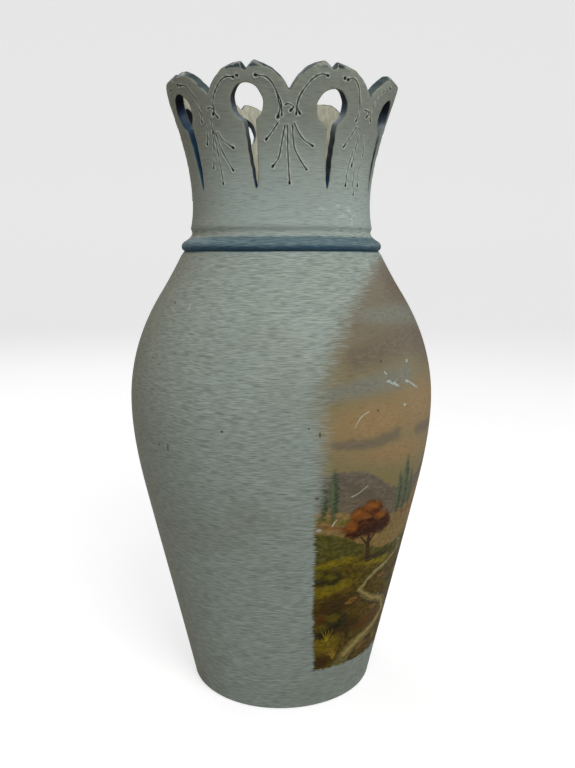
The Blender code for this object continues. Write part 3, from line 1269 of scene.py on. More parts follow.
class Groups:
    """The node groups that the materials share."""

    def __init__(self) -> None:
        """Build every group once."""
        self.place = self.make_place()
        self.oval = self.make_oval()
        self.line = self.make_line()
        self.layer = self.make_layer()

    @staticmethod
    def start(name: str, inputs: dict[str, str], outputs: dict[str, str]) -> tuple[Tree, dict[str, Socket]]:
        """Begin a group.

        Args:
            name: the group's name.
            inputs: its inputs' names and kinds.
            outputs: its outputs' names and kinds.

        Returns:
            Its tree and what it is given, by name.
        """
        group = bpy.data.node_groups.new(name, "ShaderNodeTree")
        for in_out, sockets in (("INPUT", inputs), ("OUTPUT", outputs)):
            for label, kind in sockets.items():
                group.interface.new_socket(label, in_out=in_out, socket_type="NodeSocket" + kind)
        given = group.nodes.new("NodeGroupInput").outputs
        return Tree(group), {label: given[label] for label in inputs}

    @staticmethod
    def end(tree: Tree, values: dict[str, Socket]) -> bpy.types.NodeTree:
        """Link a group's results to its output node.

        Args:
            tree: the group's tree.
            values: its results, by name.

        Returns:
            The group.
        """
        output = tree.tree.nodes.new("NodeGroupOutput")
        for name, value in values.items():
            tree.tree.links.new(value, output.inputs[name])
        return tree.tree

    def make_place(self) -> bpy.types.NodeTree:
        """Make the group that finds places on the pot in millimetres.

        The first number is the arc from the front, the angle round the axis times the radius, and
        the second is the height.

        Returns:
            The group.
        """
        tree, given = self.start("pot_place", {"Object": "Vector"}, {"Place": "Vector", "Radius": "Float"})
        parts = tree.node("SeparateXYZ", {0: given["Object"]}).outputs
        turn = tree.math("ARCTAN2", parts[0], tree.math("MULTIPLY", parts[1], -1.0))
        flat = tree.node("CombineXYZ", {0: parts[0], 1: parts[1]}).outputs[0]
        radius = tree.math("MULTIPLY", tree.vector("LENGTH", flat), 1.0 / MM)
        place = tree.node("CombineXYZ", {0: tree.math("MULTIPLY", turn, radius),
                                         1: tree.math("MULTIPLY", parts[2], 1.0 / MM)}).outputs[0]
        return self.end(tree, {"Place": place, "Radius": radius})

    def make_oval(self) -> bpy.types.NodeTree:
        """Make the group of an oval.

        Its reach is the length of the place from the centre, turned, over the half sizes.

        Returns:
            The group.
        """
        inputs = {"Place": "Vector", "Centre": "Vector", "Size": "Vector", "Turn": "Float"}
        tree, given = self.start("oval", inputs, {"Reach": "Float"})
        offset = tree.vector("SUBTRACT", given["Place"], given["Centre"])
        turned = tree.node("VectorRotate", {"Vector": offset, "Angle": given["Turn"]},
                           rotation_type="Z_AXIS").outputs[0]
        scaled = tree.vector("DIVIDE", turned, given["Size"])
        return self.end(tree, {"Reach": tree.vector("LENGTH", scaled)})

    def make_line(self) -> bpy.types.NodeTree:
        """Make the group of a straight stretch.

        Its reach is the distance to the nearest point of the stretch over the half width there.

        Returns:
            The group.
        """
        inputs = {"Place": "Vector", "Start": "Vector", "Run": "Vector", "Width": "Float",
                  "Growth": "Float"}
        tree, given = self.start("line", inputs, {"Reach": "Float"})
        offset = tree.vector("SUBTRACT", given["Place"], given["Start"])
        run = given["Run"]
        share = tree.math("DIVIDE", tree.vector("DOT_PRODUCT", offset, run),
                          tree.vector("DOT_PRODUCT", run, run))
        share = tree.math("MINIMUM", tree.math("MAXIMUM", share, 0.0), 1.0)
        along = tree.node("VectorMath", {0: run, "Scale": share}, operation="SCALE").outputs[0]
        gap = tree.vector("LENGTH", tree.vector("SUBTRACT", offset, along))
        width = tree.math("MULTIPLY_ADD", given["Growth"], share, given["Width"])
        return self.end(tree, {"Reach": tree.math("DIVIDE", gap, width)})

    def make_layer(self) -> bpy.types.NodeTree:
        """Make the group of a layer of mottled paint.

        It covers where its reach is less than one, with an edge as soft as it says.

        Returns:
            The group.
        """
        inputs = {"Under": "Color", "Reach": "Float", "Soft": "Float", "Strength": "Float",
                  "Mottle": "Float", "Colour": "Color", "Second": "Color"}
        tree, given = self.start("layer", inputs, {"Colour": "Color"})
        high = tree.math("ADD", 1.0, given["Soft"])
        low = tree.math("SUBTRACT", 1.0, given["Soft"])
        mask = tree.step(given["Reach"], high, low, given["Strength"])
        first = tree.mix(mask, given["Under"], given["Colour"])
        share = tree.math("MULTIPLY", mask, given["Mottle"])
        return self.end(tree, {"Colour": tree.mix(share, first, given["Second"])})


@dataclass(frozen=True)
class Mark:
    """How one layer of paint looks: two colours mottled together, how soft, how strong.

    A fine mark keeps its own edges, and any other gets ragged ones from the brush.
    """

    colour: Colour
    second: Colour
    soft: float = 0.4
    strength: float = 1.0
    fine: bool = False


@dataclass(frozen=True)
class Oval:
    """An oval: its centre and half sizes in millimetres, and its turn in degrees."""

    centre: Point
    size: Point
    turn: float = 0.0

    def reach(self, fields: "Fields", place: Socket) -> list[Socket]:
        """Return how far each place is from the oval's middle, over its half sizes."""
        inputs = {"Place": place, "Centre": (*self.centre, 0.0), "Size": (*self.size, 1.0),
                  "Turn": -math.radians(self.turn)}
        return [fields.tree.node("Group", inputs, node_tree=fields.groups.oval).outputs[0]]


def ovals(*rows: tuple[float, ...]) -> list[Oval]:
    """Return ovals from rows of their middle, their half sizes and, where they lean, their turn."""
    return [Oval(row[:2], row[2:4], *row[4:]) for row in rows]


@dataclass(frozen=True)
class Line:
    """A brush line through points in millimetres, with its half width at both ends."""

    points: tuple[Point, ...]
    widths: Point

    def reach(self, fields: "Fields", place: Socket) -> list[Socket]:
        """Return how far each place is from every stretch of the line, over its half width.

        Args:
            fields: the paint's fields.
            place: the places in millimetres.

        Returns:
            One reach for each stretch.
        """
        widths = np.linspace(*self.widths, len(self.points))
        reaches = []
        for start, end, width, last in zip(self.points, self.points[1:], widths, widths[1:]):
            inputs = {"Place": place, "Start": (*start, 0.0), "Width": float(width),
                      "Run": (end[0] - start[0], end[1] - start[1], 0.0), "Growth": float(last - width)}
            reaches.append(fields.tree.node("Group", inputs, node_tree=fields.groups.line).outputs[0])
        return reaches


@dataclass(frozen=True)
class Ground:
    """All that lies under a line through points in millimetres."""

    line: tuple[Point, ...]

    def reach(self, fields: "Fields", place: Socket) -> list[Socket]:
        """Return one plus how far each place is above the line, in millimetres.

        Args:
            fields: the paint's fields.
            place: the places in millimetres.

        Returns:
            The one reach.
        """
        tree = fields.tree
        parts = tree.node("SeparateXYZ", {0: place}).outputs
        above = tree.math("SUBTRACT", parts[1], tree.curve(parts[0], self.line))
        return [tree.math("ADD", above, 1.0)]


Layer = tuple[Mark, list[Oval | Line | Ground]]


class Painter:
    """Lays layers of paint one over another on a colour."""

    def __init__(self, fields: "Fields", colour: Socket) -> None:
        """Keep the paint's fields and the colour to paint on."""
        self.fields, self.colour = fields, colour

    def add(self, layer: Layer) -> None:
        """Lay one layer: all of its shapes in the same paint, where the nearest covers.

        Args:
            layer: its paint and its shapes.
        """
        (mark, shapes), fields = layer, self.fields
        place = fields.place if mark.fine else fields.ragged
        nearest, *others = [reach for shape in shapes for reach in shape.reach(fields, place)]
        for reach in others:
            nearest = fields.tree.math("MINIMUM", nearest, reach)
        inputs = {"Under": self.colour, "Reach": nearest, "Mottle": fields.mottle,
                  "Colour": linear(mark.colour), "Second": linear(mark.second),
                  "Soft": mark.soft, "Strength": mark.strength}
        self.colour = fields.tree.node("Group", inputs, node_tree=fields.groups.layer).outputs[0]


class Landscape:
    """The panel: a generic design of hazy sky, rolling hills, round trees and a winding brook.

    Places are millimetres of arc from the vase's front and millimetres of height.
    """

    middle: float = math.radians(70.0)
    left_edge = ((20.0, 16.4), (30.0, 16.0), (60.0, 14.9), (100.0, 14.6), (140.0, 15.2), (165.0, 15.6),
                 (178.0, 17.6), (187.0, 20.6), (195.0, 25.0), (205.0, 33.0), (215.0, 42.0),
                 (221.0, 54.0), (226.0, 70.0))
    left_softness = ((20.0, 1.7), (98.0, 2.4), (110.0, 5.6), (126.0, 10.0), (150.0, 13.0),
                     (180.0, 16.0), (226.0, 19.0))
    sky = ((100.0, (128, 120, 86)), (150.0, (128, 116, 80)), (190.0, (112, 104, 86)),
           (226.0, (116, 110, 98)))
    varnish = ((58.0, (224, 204, 140)), (76.0, (238, 226, 176)), (118.0, (248, 244, 230)),
               (135.0, (255, 255, 255)))
    brook = ((70.0, 84.0), (76.0, 79.5), (66.0, 75.0), (50.0, 70.0), (41.0, 64.0), (47.0, 57.5),
             (61.0, 51.0), (66.0, 44.0), (55.0, 36.5), (38.0, 31.0), (30.0, 22.0))

    def layers(self) -> list[Layer]:
        """Return every layer of the picture, from the back to the front."""
        return [*self.clouds(), *self.hills(), *self.poplars(), *self.meadow(), *self.water(),
                *self.tree(44.0, 101.0, 1.0), *self.tree(104.0, 96.0, 1.25), *self.bushes(), *self.grass()]

    @staticmethod
    def clouds() -> list[Layer]:
        """Return flat banks of mauve and grey haze, and the ochre glow over the hills."""
        return [
            (Mark((98, 88, 74), (112, 101, 86), 0.9, 0.85), [
                Line(((66.0, 208.0), (96.0, 204.0), (128.0, 208.0)), (7.0, 9.0)),
                Line(((34.0, 178.0), (66.0, 185.0), (104.0, 181.0)), (4.0, 8.0))]),
            (Mark((120, 122, 110), (108, 108, 96), 0.95, 0.8), [
                Line(((40.0, 196.0), (64.0, 196.0), (100.0, 193.0)), (2.4, 4.4)),
                Line(((20.0, 163.0), (40.0, 166.0), (66.0, 168.0)), (3.0, 4.4))]),
            (Mark((152, 124, 88), (136, 114, 76), 0.95, 0.85), ovals(
                (98.0, 152.0, 44.0, 10.0), (46.0, 149.0, 22.0, 8.0, 6.0),
                (64.0, 134.0, 26.0, 5.0, -5.0))),
            (Mark((100, 92, 78), (112, 102, 86), 0.95, 0.7), [
                Line(((24.0, 141.0), (44.0, 140.0), (58.0, 142.5)), (1.8, 2.6)),
                Line(((76.0, 142.0), (104.0, 140.0), (136.0, 143.0)), (2.0, 3.4))]),
        ]

    @staticmethod
    def hills() -> list[Layer]:
        """Return three ridges, the far one mauve, the next tan with strips of field, and a green one."""
        return [
            (Mark((112, 103, 94), (96, 88, 78), 1.0, 0.9), [Ground((
                (14.0, 121.0), (28.0, 128.0), (46.0, 124.0), (66.0, 115.0), (92.0, 124.0),
                (118.0, 136.0), (144.0, 127.0), (180.0, 131.0)))]),
            (Mark((88, 80, 70), (104, 95, 84), 0.9, 0.7), [
                Line(((27.0, 126.0), (34.0, 119.0), (44.0, 114.0)), (0.8, 2.6)),
                Line(((116.0, 133.0), (108.0, 124.0), (98.0, 118.0)), (0.8, 3.4))]),
            (Mark((146, 124, 86), (120, 102, 66), 1.0, 0.95), [Ground((
                (14.0, 112.0), (30.0, 108.0), (50.0, 101.0), (72.0, 103.0), (98.0, 113.0),
                (126.0, 107.0), (180.0, 112.0)))]),
            (Mark((116, 108, 50), (92, 86, 38), 0.7, 0.8), [
                Line(((16.0, 106.0), (32.0, 102.6), (50.0, 96.0)), (1.0, 1.8)),
                Line(((82.0, 102.0), (98.0, 107.0), (120.0, 102.0)), (1.2, 2.4))]),
            (Mark((136, 92, 58), (112, 78, 50), 0.9, 0.7), [
                Line(((70.0, 99.0), (86.0, 99.6), (100.0, 101.0)), (1.2, 1.6)),
                Line(((20.0, 101.6), (34.0, 98.0)), (0.7, 1.2))]),
            (Mark((94, 92, 42), (68, 68, 24), 1.0), [Ground((
                (14.0, 99.0), (26.0, 96.0), (42.0, 89.0), (58.0, 84.0), (74.0, 84.6), (94.0, 90.0),
                (122.0, 95.0), (180.0, 91.0)))]),
        ]

    @staticmethod
    def poplars() -> list[Layer]:
        """Paint rows of slim blue-green poplars, each with a paler side.

        Returns:
            Their layers.
        """
        row = ((64.0, 100.5, 21.0), (69.5, 101.0, 27.0), (75.5, 102.0, 19.0), (19.5, 106.0, 17.0),
               (24.5, 106.0, 22.0), (128.0, 104.0, 28.0), (135.0, 104.0, 21.0), (142.0, 104.0, 25.0))
        dark = [Oval((x, foot + tall / 2.0), (0.10 * tall, tall / 2.0)) for x, foot, tall in row]
        pale = [Oval((x - 0.045 * tall, foot + 0.55 * tall), (0.035 * tall, 0.34 * tall))
                for x, foot, tall in row]
        return [(Mark((74, 88, 72), (56, 70, 52), 0.35, 0.95), dark),
                (Mark((110, 120, 92), (88, 100, 74), 0.8, 0.7), pale)]

    @staticmethod
    def meadow() -> list[Layer]:
        """Return the lower meadow: olive, with yellow-green banks and brown hollows."""
        return [
            (Mark((104, 92, 20), (72, 62, 10), 1.0), [Ground((
                (14.0, 80.0), (28.0, 84.0), (46.0, 80.0), (64.0, 77.0), (86.0, 81.0), (120.0, 85.0),
                (180.0, 81.0)))]),
            (Mark((142, 132, 18), (98, 90, 10), 0.7, 0.9), [
                Line(((16.0, 80.0), (30.0, 82.6), (46.0, 78.4), (58.0, 76.6)), (1.4, 1.8)),
                Line(((80.0, 74.0), (96.0, 79.0), (122.0, 80.0)), (2.0, 3.4)),
                Oval((24.0, 68.0), (9.0, 3.0), 8.0), Oval((72.0, 60.0), (9.0, 4.0), -14.0),
                Oval((22.0, 37.0), (6.0, 5.0)), Oval((84.0, 34.0), (16.0, 4.0), 8.0)]),
            (Mark((50, 36, 6), (72, 54, 12), 0.8, 0.9), ovals(
                (27.0, 58.0, 10.0, 4.6, 10.0), (30.0, 46.0, 12.0, 4.0, -8.0),
                (84.0, 68.0, 13.0, 2.6, 6.0),
                (78.0, 47.0, 8.0, 4.4, 12.0), (20.0, 26.0, 5.0, 3.0, 20.0))),
            (Mark((110, 70, 14), (84, 54, 10), 0.9, 0.85), ovals(
                (20.0, 50.0, 4.4, 2.6, -10.0), (48.0, 43.0, 7.0, 2.2, 12.0),
                (74.0, 28.0, 10.0, 3.6, -6.0))),
        ]

    def water(self) -> list[Layer]:
        """Paint the brook with its dark banks, its light and the stones beside it.

        Returns:
            Its layers.
        """
        points = [np.array(point) for point in catmull_rom(np.array(self.brook), 6.0)]
        spread = np.linspace(0.15, 1.0, len(points))
        shore = tuple((float(x), float(z - 0.9 * share)) for (x, z), share in zip(points, spread))
        course = tuple((float(x), float(z)) for x, z in points)
        glint = tuple((float(x - 0.5), float(z + 0.5 * share)) for (x, z), share in zip(points, spread))
        return [
            (Mark((40, 28, 6), (60, 44, 10), 0.5, 0.9), [Line(shore, (0.9, 4.2))]),
            (Mark((132, 130, 108), (104, 104, 80), 0.3), [Line(course, (0.6, 3.6))]),
            (Mark((184, 176, 150), (150, 146, 120), 0.7, 0.8), [Line(glint[::2], (0.2, 1.2))]),
            (Mark((152, 124, 80), (112, 88, 46), 0.35), ovals(
                (57.6, 66.4, 3.2, 1.3, -10.0), (36.4, 58.6, 3.6, 1.6, 12.0),
                (52.4, 49.4, 2.8, 1.2, 6.0), (72.4, 39.6, 4.4, 1.8, -8.0),
                (45.6, 28.0, 4.0, 1.7, 10.0), (24.0, 31.4, 3.0, 1.4, -12.0))),
            (Mark((66, 48, 24), (84, 64, 34), 0.6, 0.9), ovals(
                (58.4, 65.4, 2.6, 0.5, -10.0), (37.2, 57.2, 3.0, 0.6, 12.0),
                (73.2, 38.2, 3.8, 0.7, -8.0),
                (46.2, 26.6, 3.4, 0.6, 10.0))),
        ]

    @staticmethod
    def tree(x: float, z: float, size: float) -> list[Layer]:
        """Return one round autumn tree: its shadow, trunk and red-brown crown in light and shade.

        Args:
            x: the arc of its crown's middle, in millimetres.
            z: the height of its crown's middle.
            size: how large it is, where 1 is a crown 28 mm wide.

        Returns:
            Its layers.
        """

        def clumps(*shapes: tuple[float, float, float, float]) -> list[Oval]:
            """Return ovals given by their places from the crown's middle and their half sizes."""
            return [Oval((x + size * dx, z + size * dz), (size * wide, size * tall))
                    for dx, dz, wide, tall in shapes]

        def limb(points: tuple[Point, ...], widths: Point) -> Line:
            """Return a trunk or branch through points given from the crown's middle."""
            return Line(tuple((x + size * dx, z + size * dz) for dx, dz in points),
                        (size * widths[0], size * widths[1]))

        return [
            (Mark((42, 34, 8), (60, 50, 12), 0.8, 0.85), clumps((5.0, -20.6, 12.0, 1.6))),
            (Mark((52, 34, 16), (78, 56, 30), 0.3, 1.0, True), [
                limb(((0.6, -21.0), (0.0, -14.0), (0.4, -4.0)), (1.5, 0.8)),
                limb(((0.0, -13.0), (-4.6, -7.6)), (0.7, 0.4)),
                limb(((0.2, -11.6), (5.0, -6.4)), (0.7, 0.4))]),
            (Mark((96, 50, 14), (58, 26, 6), 0.25), clumps(
                (0.0, 0.0, 10.0, 7.6), (-8.0, -2.6, 6.4, 5.2), (8.4, -2.0, 6.2, 5.4),
                (1.0, 6.0, 7.0, 4.8), (-5.4, 4.0, 5.4, 4.4))),
            (Mark((38, 17, 4), (56, 28, 8), 0.85, 0.85), clumps(
                (4.0, -4.4, 8.0, 2.6), (-6.4, -5.4, 4.6, 1.9), (9.6, -1.0, 3.0, 2.8),
                (0.0, 1.4, 3.4, 1.4))),
            (Mark((158, 100, 40), (120, 66, 18), 0.85, 0.8), clumps(
                (-6.4, 4.8, 3.6, 2.2), (1.0, 8.0, 4.2, 1.8), (-10.4, -1.0, 2.8, 2.2),
                (7.0, 2.0, 3.2, 1.6), (-2.0, 3.0, 2.4, 1.2))),
        ]

    @staticmethod
    def bushes() -> list[Layer]:
        """Paint the dark green bushes on the banks, lit from the left.

        Returns:
            Their layers.
        """
        places = ((18.6, 75.0, 4.4), (25.0, 73.4, 3.6), (83.0, 72.0, 4.0), (90.0, 74.0, 5.4),
                  (98.0, 70.0, 4.2), (66.0, 62.6, 3.4), (72.6, 57.0, 3.0), (27.6, 49.4, 4.4),
                  (21.0, 45.0, 4.8), (82.0, 51.0, 4.6))
        dark = [Oval((x, z), (1.25 * size, size)) for x, z, size in places]
        light = [Oval((x - 0.4 * size, z + 0.36 * size), (0.7 * size, 0.42 * size))
                 for x, z, size in places]
        return [(Mark((34, 34, 8), (54, 52, 14), 0.4, 0.95), dark),
                (Mark((116, 110, 30), (88, 84, 22), 0.85, 0.8), light)]

    @staticmethod
    def grass() -> list[Layer]:
        """Return tufts of grass in the foreground, each a fan of four blades."""
        def tufts(places: tuple[tuple[float, float, float], ...]) -> list[Line]:
            """Return every blade of the tufts, given by their feet and heights."""
            return [Line(((x, z), (x + 0.8 * lean * tall, z + tall)), (0.35, 0.12))
                    for x, z, tall in places for lean in (-0.6, -0.15, 0.25, 0.7)]

        return [
            (Mark((40, 36, 4), (60, 54, 10), 0.6, 0.9, True),
             tufts(((19.0, 40.0, 7.0), (34.0, 38.0, 6.0), (61.0, 28.0, 7.0), (88.0, 40.0, 7.0)))),
            (Mark((176, 160, 50), (130, 116, 24), 0.6, 0.9, True),
             tufts(((22.6, 38.6, 6.0), (26.0, 27.0, 6.0), (57.0, 27.0, 6.0), (70.0, 32.0, 6.0),
                    (94.0, 38.0, 7.0)))),
        ]

    def lay(self, fields: "Fields", under: Socket) -> Socket:
        """Paint the panel over the pot's own paint.

        Args:
            fields: the paint's fields.
            under: the pot's own paint.

        Returns:
            The painted colour.
        """
        tree = fields.tree
        painter = Painter(fields, tree.ramp(fields.height, self.sky))
        for layer in self.layers():
            painter.add(layer)
        picture = tree.vector("MULTIPLY", painter.colour, tree.ramp(fields.height, self.varnish))
        far_edge = tree.math("MULTIPLY", fields.radius, 2.0 * self.middle)
        mirrored = tree.math("SUBTRACT", far_edge, fields.arc)
        inward = tree.math("SUBTRACT", tree.math("MINIMUM", fields.arc, mirrored),
                           tree.curve(fields.height, self.left_edge))
        softness = tree.curve(fields.height, self.left_softness)
        inward = tree.waver(inward, fields.brush, tree.math("ADD", softness, 4.2))
        inward = tree.waver(inward, fields.cloud, 7.0)
        inward = tree.math("MULTIPLY_ADD", softness, 0.2, inward)
        mask = tree.step(inward, 0.0, softness)
        bottom = tree.step(tree.math("MULTIPLY_ADD", fields.mottle, 0.9, fields.height), 21.5, 22.6)
        return tree.mix(tree.math("MULTIPLY", mask, bottom), under, picture)


class Fields:
    """What a paint reads everywhere: its tree, the groups, places in millimetres, and noises."""

    def __init__(self, tree: Tree, groups: Groups) -> None:
        """Add the nodes for places and noises.

        Args:
            tree: where the nodes go.
            groups: the shared groups.
        """
        self.tree, self.groups = tree, groups
        self.raw = raw = tree.node("TexCoord").outputs["Object"]
        found = tree.node("Group", {0: raw}, node_tree=groups.place).outputs
        self.place, self.radius = found["Place"], found["Radius"]
        parts = tree.node("SeparateXYZ", {0: self.place}).outputs
        self.arc, self.height = parts[0], parts[1]
        self.streak = tree.noise(raw, (210.0, 210.0, 3300.0), 2.0)
        self.brush = tree.noise(raw, (190.0, 190.0, 2100.0), 2.0)
        self.mottle = tree.step(tree.noise(raw, (420.0, 420.0, 620.0), 4.0), 0.36, 0.64)
        self.cloud = tree.noise(raw, (16.0, 16.0, 20.0), 4.0)
        across = tree.math("SUBTRACT", tree.noise(raw, (150.0, 150.0, 1300.0)), 0.5)
        up = tree.math("SUBTRACT", tree.noise(raw, (330.0, 330.0, 260.0)), 0.5)
        shift = tree.node("CombineXYZ", {0: tree.math("MULTIPLY", across, 5.0),
                                         1: tree.math("MULTIPLY", up, 3.2)}).outputs[0]
        self.ragged = tree.vector("ADD", self.place, shift)


class Finishes:
    """Builds the vase's materials, in slot order."""

    grey_green: Colour = (122, 132, 124)
    pale_green: Colour = (152, 162, 154)
    drab: Colour = (118, 114, 98)
    neck_grey: Colour = (152, 165, 161)
    crown_drab_and_shade: Colour = (112, 112, 98)
    stain_and_shade_brown: Colour = (112, 106, 86)
    streak_shade: Colour = (40, 42, 36)
    streak_light: Colour = (170, 176, 160)
    slate: Colour = (68, 92, 102)
    pale_slate: Colour = (98, 116, 120)
    deep_blue: Colour = (26, 62, 84)
    rubbed_edge: Colour = (138, 138, 120)
    pale_burr: Colour = (176, 182, 170)
    groove_dirt_and_shade: Colour = (34, 30, 22)
    rim_teal: Colour = (26, 40, 46)
    rim_grey: Colour = (56, 70, 70)
    rim_foot: Colour = (80, 92, 90)
    worn_rim: Colour = (150, 154, 140)
    worn_keyhole: Colour = (128, 136, 126)
    inner_cream: Colour = (152, 150, 132)
    inner_pale: Colour = (174, 172, 154)
    inner_stain: Colour = (132, 128, 104)
    inner_shade: Colour = (110, 108, 92)
    clay_pink: Colour = (188, 168, 142)
    clay_brown: Colour = (160, 138, 112)

    # Wear, in millimetres of arc from the front and of height: the scratches' points and widths,
    # and the others' middles, half sizes and turns
    scratches = (
        (((33.9, 148.2), (34.9, 150.3), (36.4, 152.4), (38.3, 153.8), (40.7, 154.8)), (0.12, 0.22)),
        (((33.2, 115.6), (35.2, 116.2), (37.0, 117.0), (39.4, 118.5), (41.7, 119.8)), (0.20, 0.14)),
        (((24.0, 102.0), (24.8, 103.6), (26.2, 105.0)), (0.36, 0.16)),
        (((-45.6, 197.6), (-44.6, 200.6)), (0.16, 0.12)),
    )
    chips = (
        (52.6, 167.0, 1.3, 0.6, 0.0), (54.6, 166.0, 1.6, 0.45, -28.0),
        (57.6, 165.0, 2.2, 0.5, -24.0), (66.2, 165.6, 1.5, 0.6, -15.0),
        (69.0, 164.6, 1.3, 0.4, -30.0), (72.0, 163.2, 2.2, 0.5, -26.0),
        (75.0, 161.8, 1.0, 0.4, -30.0), (50.7, 170.8, 1.1, 0.35, -40.0),
        (56.6, 165.9, 0.7, 0.6, 20.0), (67.0, 174.6, 0.8, 0.7, 0.0),
        (64.0, 155.2, 1.0, 0.6, 0.0), (17.4, 100.4, 1.2, 0.7, 0.0),
    )
    specks = (
        (48.2, 176.0, 0.5, 0.6), (16.3, 116.6, 1.0, 0.5), (17.3, 146.3, 0.4, 1.1),
        (46.0, 154.8, 0.6, 0.5), (-56.2, 200.7, 0.5, 0.5), (-63.1, 136.2, 0.5, 0.6),
        (-56.5, 136.0, 0.5, 1.5), (12.4, 149.2, 0.4, 0.4), (-25.8, 147.2, 0.7, 0.5),
    )
    scuffs = (
        (35.4, 243.3, 1.7, 0.9, -30.0), (37.6, 238.2, 0.6, 2.2, 0.0),
        (40.0, 240.7, 1.4, 0.5, -20.0), (28.3, 245.3, 1.3, 0.5, 0.0),
        (19.5, 243.7, 1.5, 0.5, 0.0), (31.0, 240.4, 2.2, 0.7, 8.0),
    )

    def all(self) -> list[bpy.types.Material]:
        """Return the materials of every slot."""
        groups = Groups()
        return [self.paint(groups, "old_paint", False), self.rim(), self.keyhole(), self.inside(),
                self.bare(), self.paint(groups, "painted_panel", True)]

    @staticmethod
    def start(name: str) -> tuple[bpy.types.Material, Tree]:
        """Begin a material with its one shader.

        Args:
            name: the material's name.

        Returns:
            The material and its tree.
        """
        material = bpy.data.materials.new(name)
        material.use_nodes = True
        return material, Tree(material.node_tree)

    @staticmethod
    def end(material: bpy.types.Material, tree: Tree, colour: Value, roughness: Value, shine: float,
            height: Socket, depth: float) -> bpy.types.Material:
        """Link a material's colour, roughness and relief to its shader.

        Args:
            material: the material.
            tree: its nodes.
            colour: its colour.
            roughness: its roughness.
            shine: how much of the usual shine it has, where a half is common.
            height: its relief, from nothing to one.
            depth: the relief's depth in metres.

        Returns:
            The material.
        """
        shader = material.node_tree.nodes["Principled BSDF"]
        shader.inputs["Specular IOR Level"].default_value = shine
        bump = tree.node("Bump", {"Height": height, "Distance": depth, "Strength": 1.0})
        tree.tree.links.new(bump.outputs[0], shader.inputs["Normal"])
        for name, value in (("Base Color", colour), ("Roughness", roughness)):
            if isinstance(value, Socket):
                tree.tree.links.new(value, shader.inputs[name])
            else:
                shader.inputs[name].default_value = value
        return material

    @classmethod
    def floor(cls, shade: float, glow: float) -> bpy.types.Material:
        """Return the plain floor's material, paler to the eye than the light it throws back.

        Args:
            shade: its linear grey.
            glow: the white that is added where it is seen directly.

        Returns:
            The material.
        """
        material, tree = cls.start("pale_floor")
        shader = material.node_tree.nodes["Principled BSDF"]
        shader.inputs["Base Color"].default_value = (shade, shade, shade, 1.0)
        shader.inputs["Roughness"].default_value = 0.9
        shader.inputs["Emission Color"].default_value = (1.0, 1.0, 1.0, 1.0)
        seen = tree.node("LightPath").outputs["Is Camera Ray"]
        tree.tree.links.new(tree.math("MULTIPLY", seen, glow), shader.inputs["Emission Strength"])
        return material

    def paint(self, groups: Groups, name: str, panel: bool) -> bpy.types.Material:
        """Return the streaked paint of the outside, with its band and wear.

        Args:
            groups: the shared groups.
            name: the material's name.
            panel: whether it is for the faces that carry the picture.

        Returns:
            The material.
        """
        material, tree = self.start(name)
        fields = Fields(tree, groups)
        base = tree.wash(linear(self.grey_green), self.pale_green, fields.streak, 0.34, 0.68)
        base = tree.wash(base, self.grey_green, fields.brush, 0.48, 0.70, 0.5)
        base = tree.wash(base, self.drab, fields.cloud, 0.50, 0.78, 0.45)
        base = tree.wash(base, self.neck_grey, fields.height, 228.0, 238.0, 0.55)
        # Browner and darker up the crown: partly the paint's own drab tone, partly painted shade under the
        # outward-leaning lobes
        base = tree.wash(base, self.crown_drab_and_shade, fields.height, 248.0, 286.0, 0.66)
        # Browner and darker on the left, fading round towards the back: partly a stain, partly painted
        # shade on the side turned from the light
        turn = tree.math("DIVIDE", fields.arc, fields.radius)
        left_stain_and_shade = tree.math("MULTIPLY", tree.step(turn, -0.35, -1.25, 0.6), tree.step(turn, -2.2, -1.55))
        base = tree.mix(left_stain_and_shade, base, linear(self.stain_and_shade_brown))
        base = self.band(fields, base)
        if panel:
            base = Landscape().lay(fields, base)
        base = tree.wash(base, self.streak_shade, fields.streak, 0.46, 0.30, 0.22)
        base = tree.wash(base, self.streak_light, fields.streak, 0.56, 0.72, 0.10)
        base = self.clay_marks(fields, self.wear(fields, base, panel))
        relief = tree.math("ADD", tree.math("MULTIPLY", fields.streak, 0.6),
                           tree.math("MULTIPLY", fields.brush, 0.4))
        roughness = tree.math("ADD", tree.step(fields.brush, 0.2, 0.8, 0.2), 0.42)
        return self.end(material, tree, base, roughness, 0.1, relief, 0.04 * MM)

    def band(self, fields: Fields, under: Socket) -> Socket:
        """Paint the slate blue band round the ring, with a darker lower edge.

        Args:
            fields: the paint's fields.
            under: the colour below it.

        Returns:
            The painted colour.
        """
        tree = fields.tree
        level = tree.math("MULTIPLY_ADD", tree.noise(fields.raw, (26.0, 26.0, 26.0)), 1.5,
                          tree.math("SUBTRACT", fields.height, 0.75))
        level = tree.waver(level, fields.streak, 1.2)
        inside = tree.math("MULTIPLY", tree.step(level, 223.9, 224.5), tree.step(level, 231.6, 230.6))
        blue = tree.wash(linear(self.slate), self.pale_slate, fields.streak, 0.30, 0.70)
        blue = tree.wash(blue, self.deep_blue, level, 227.6, 226.0, 0.9)
        return tree.mix(tree.math("MULTIPLY", inside, 0.94), under, blue)

    def wear(self, fields: Fields, under: Socket, panel: bool) -> Socket:
        """Add the scratches, the dark specks, and the panel's chips or the neck's scuffs.

        Args:
            fields: the paint's fields.
            under: the colour below them.
            panel: whether it is for the panel's faces.

        Returns:
            The worn colour.
        """
        painter = Painter(fields, under)
        painter.add((Mark((204, 202, 188), (160, 158, 142), 0.6, 0.8, True),
                     [Line(points, widths) for points, widths in self.scratches]))
        if panel:
            painter.add((Mark((166, 176, 168), (148, 158, 152), 0.4, 0.9, True),
                         ovals(*self.chips)))
        else:
            painter.add((Mark((176, 188, 180), (160, 172, 164), 0.9, 0.55),
                         ovals(*self.scuffs)))
        painter.add((Mark((62, 60, 48), (78, 74, 58), 0.5, 0.85, True),
                     ovals(*self.specks)))
        return painter.colour

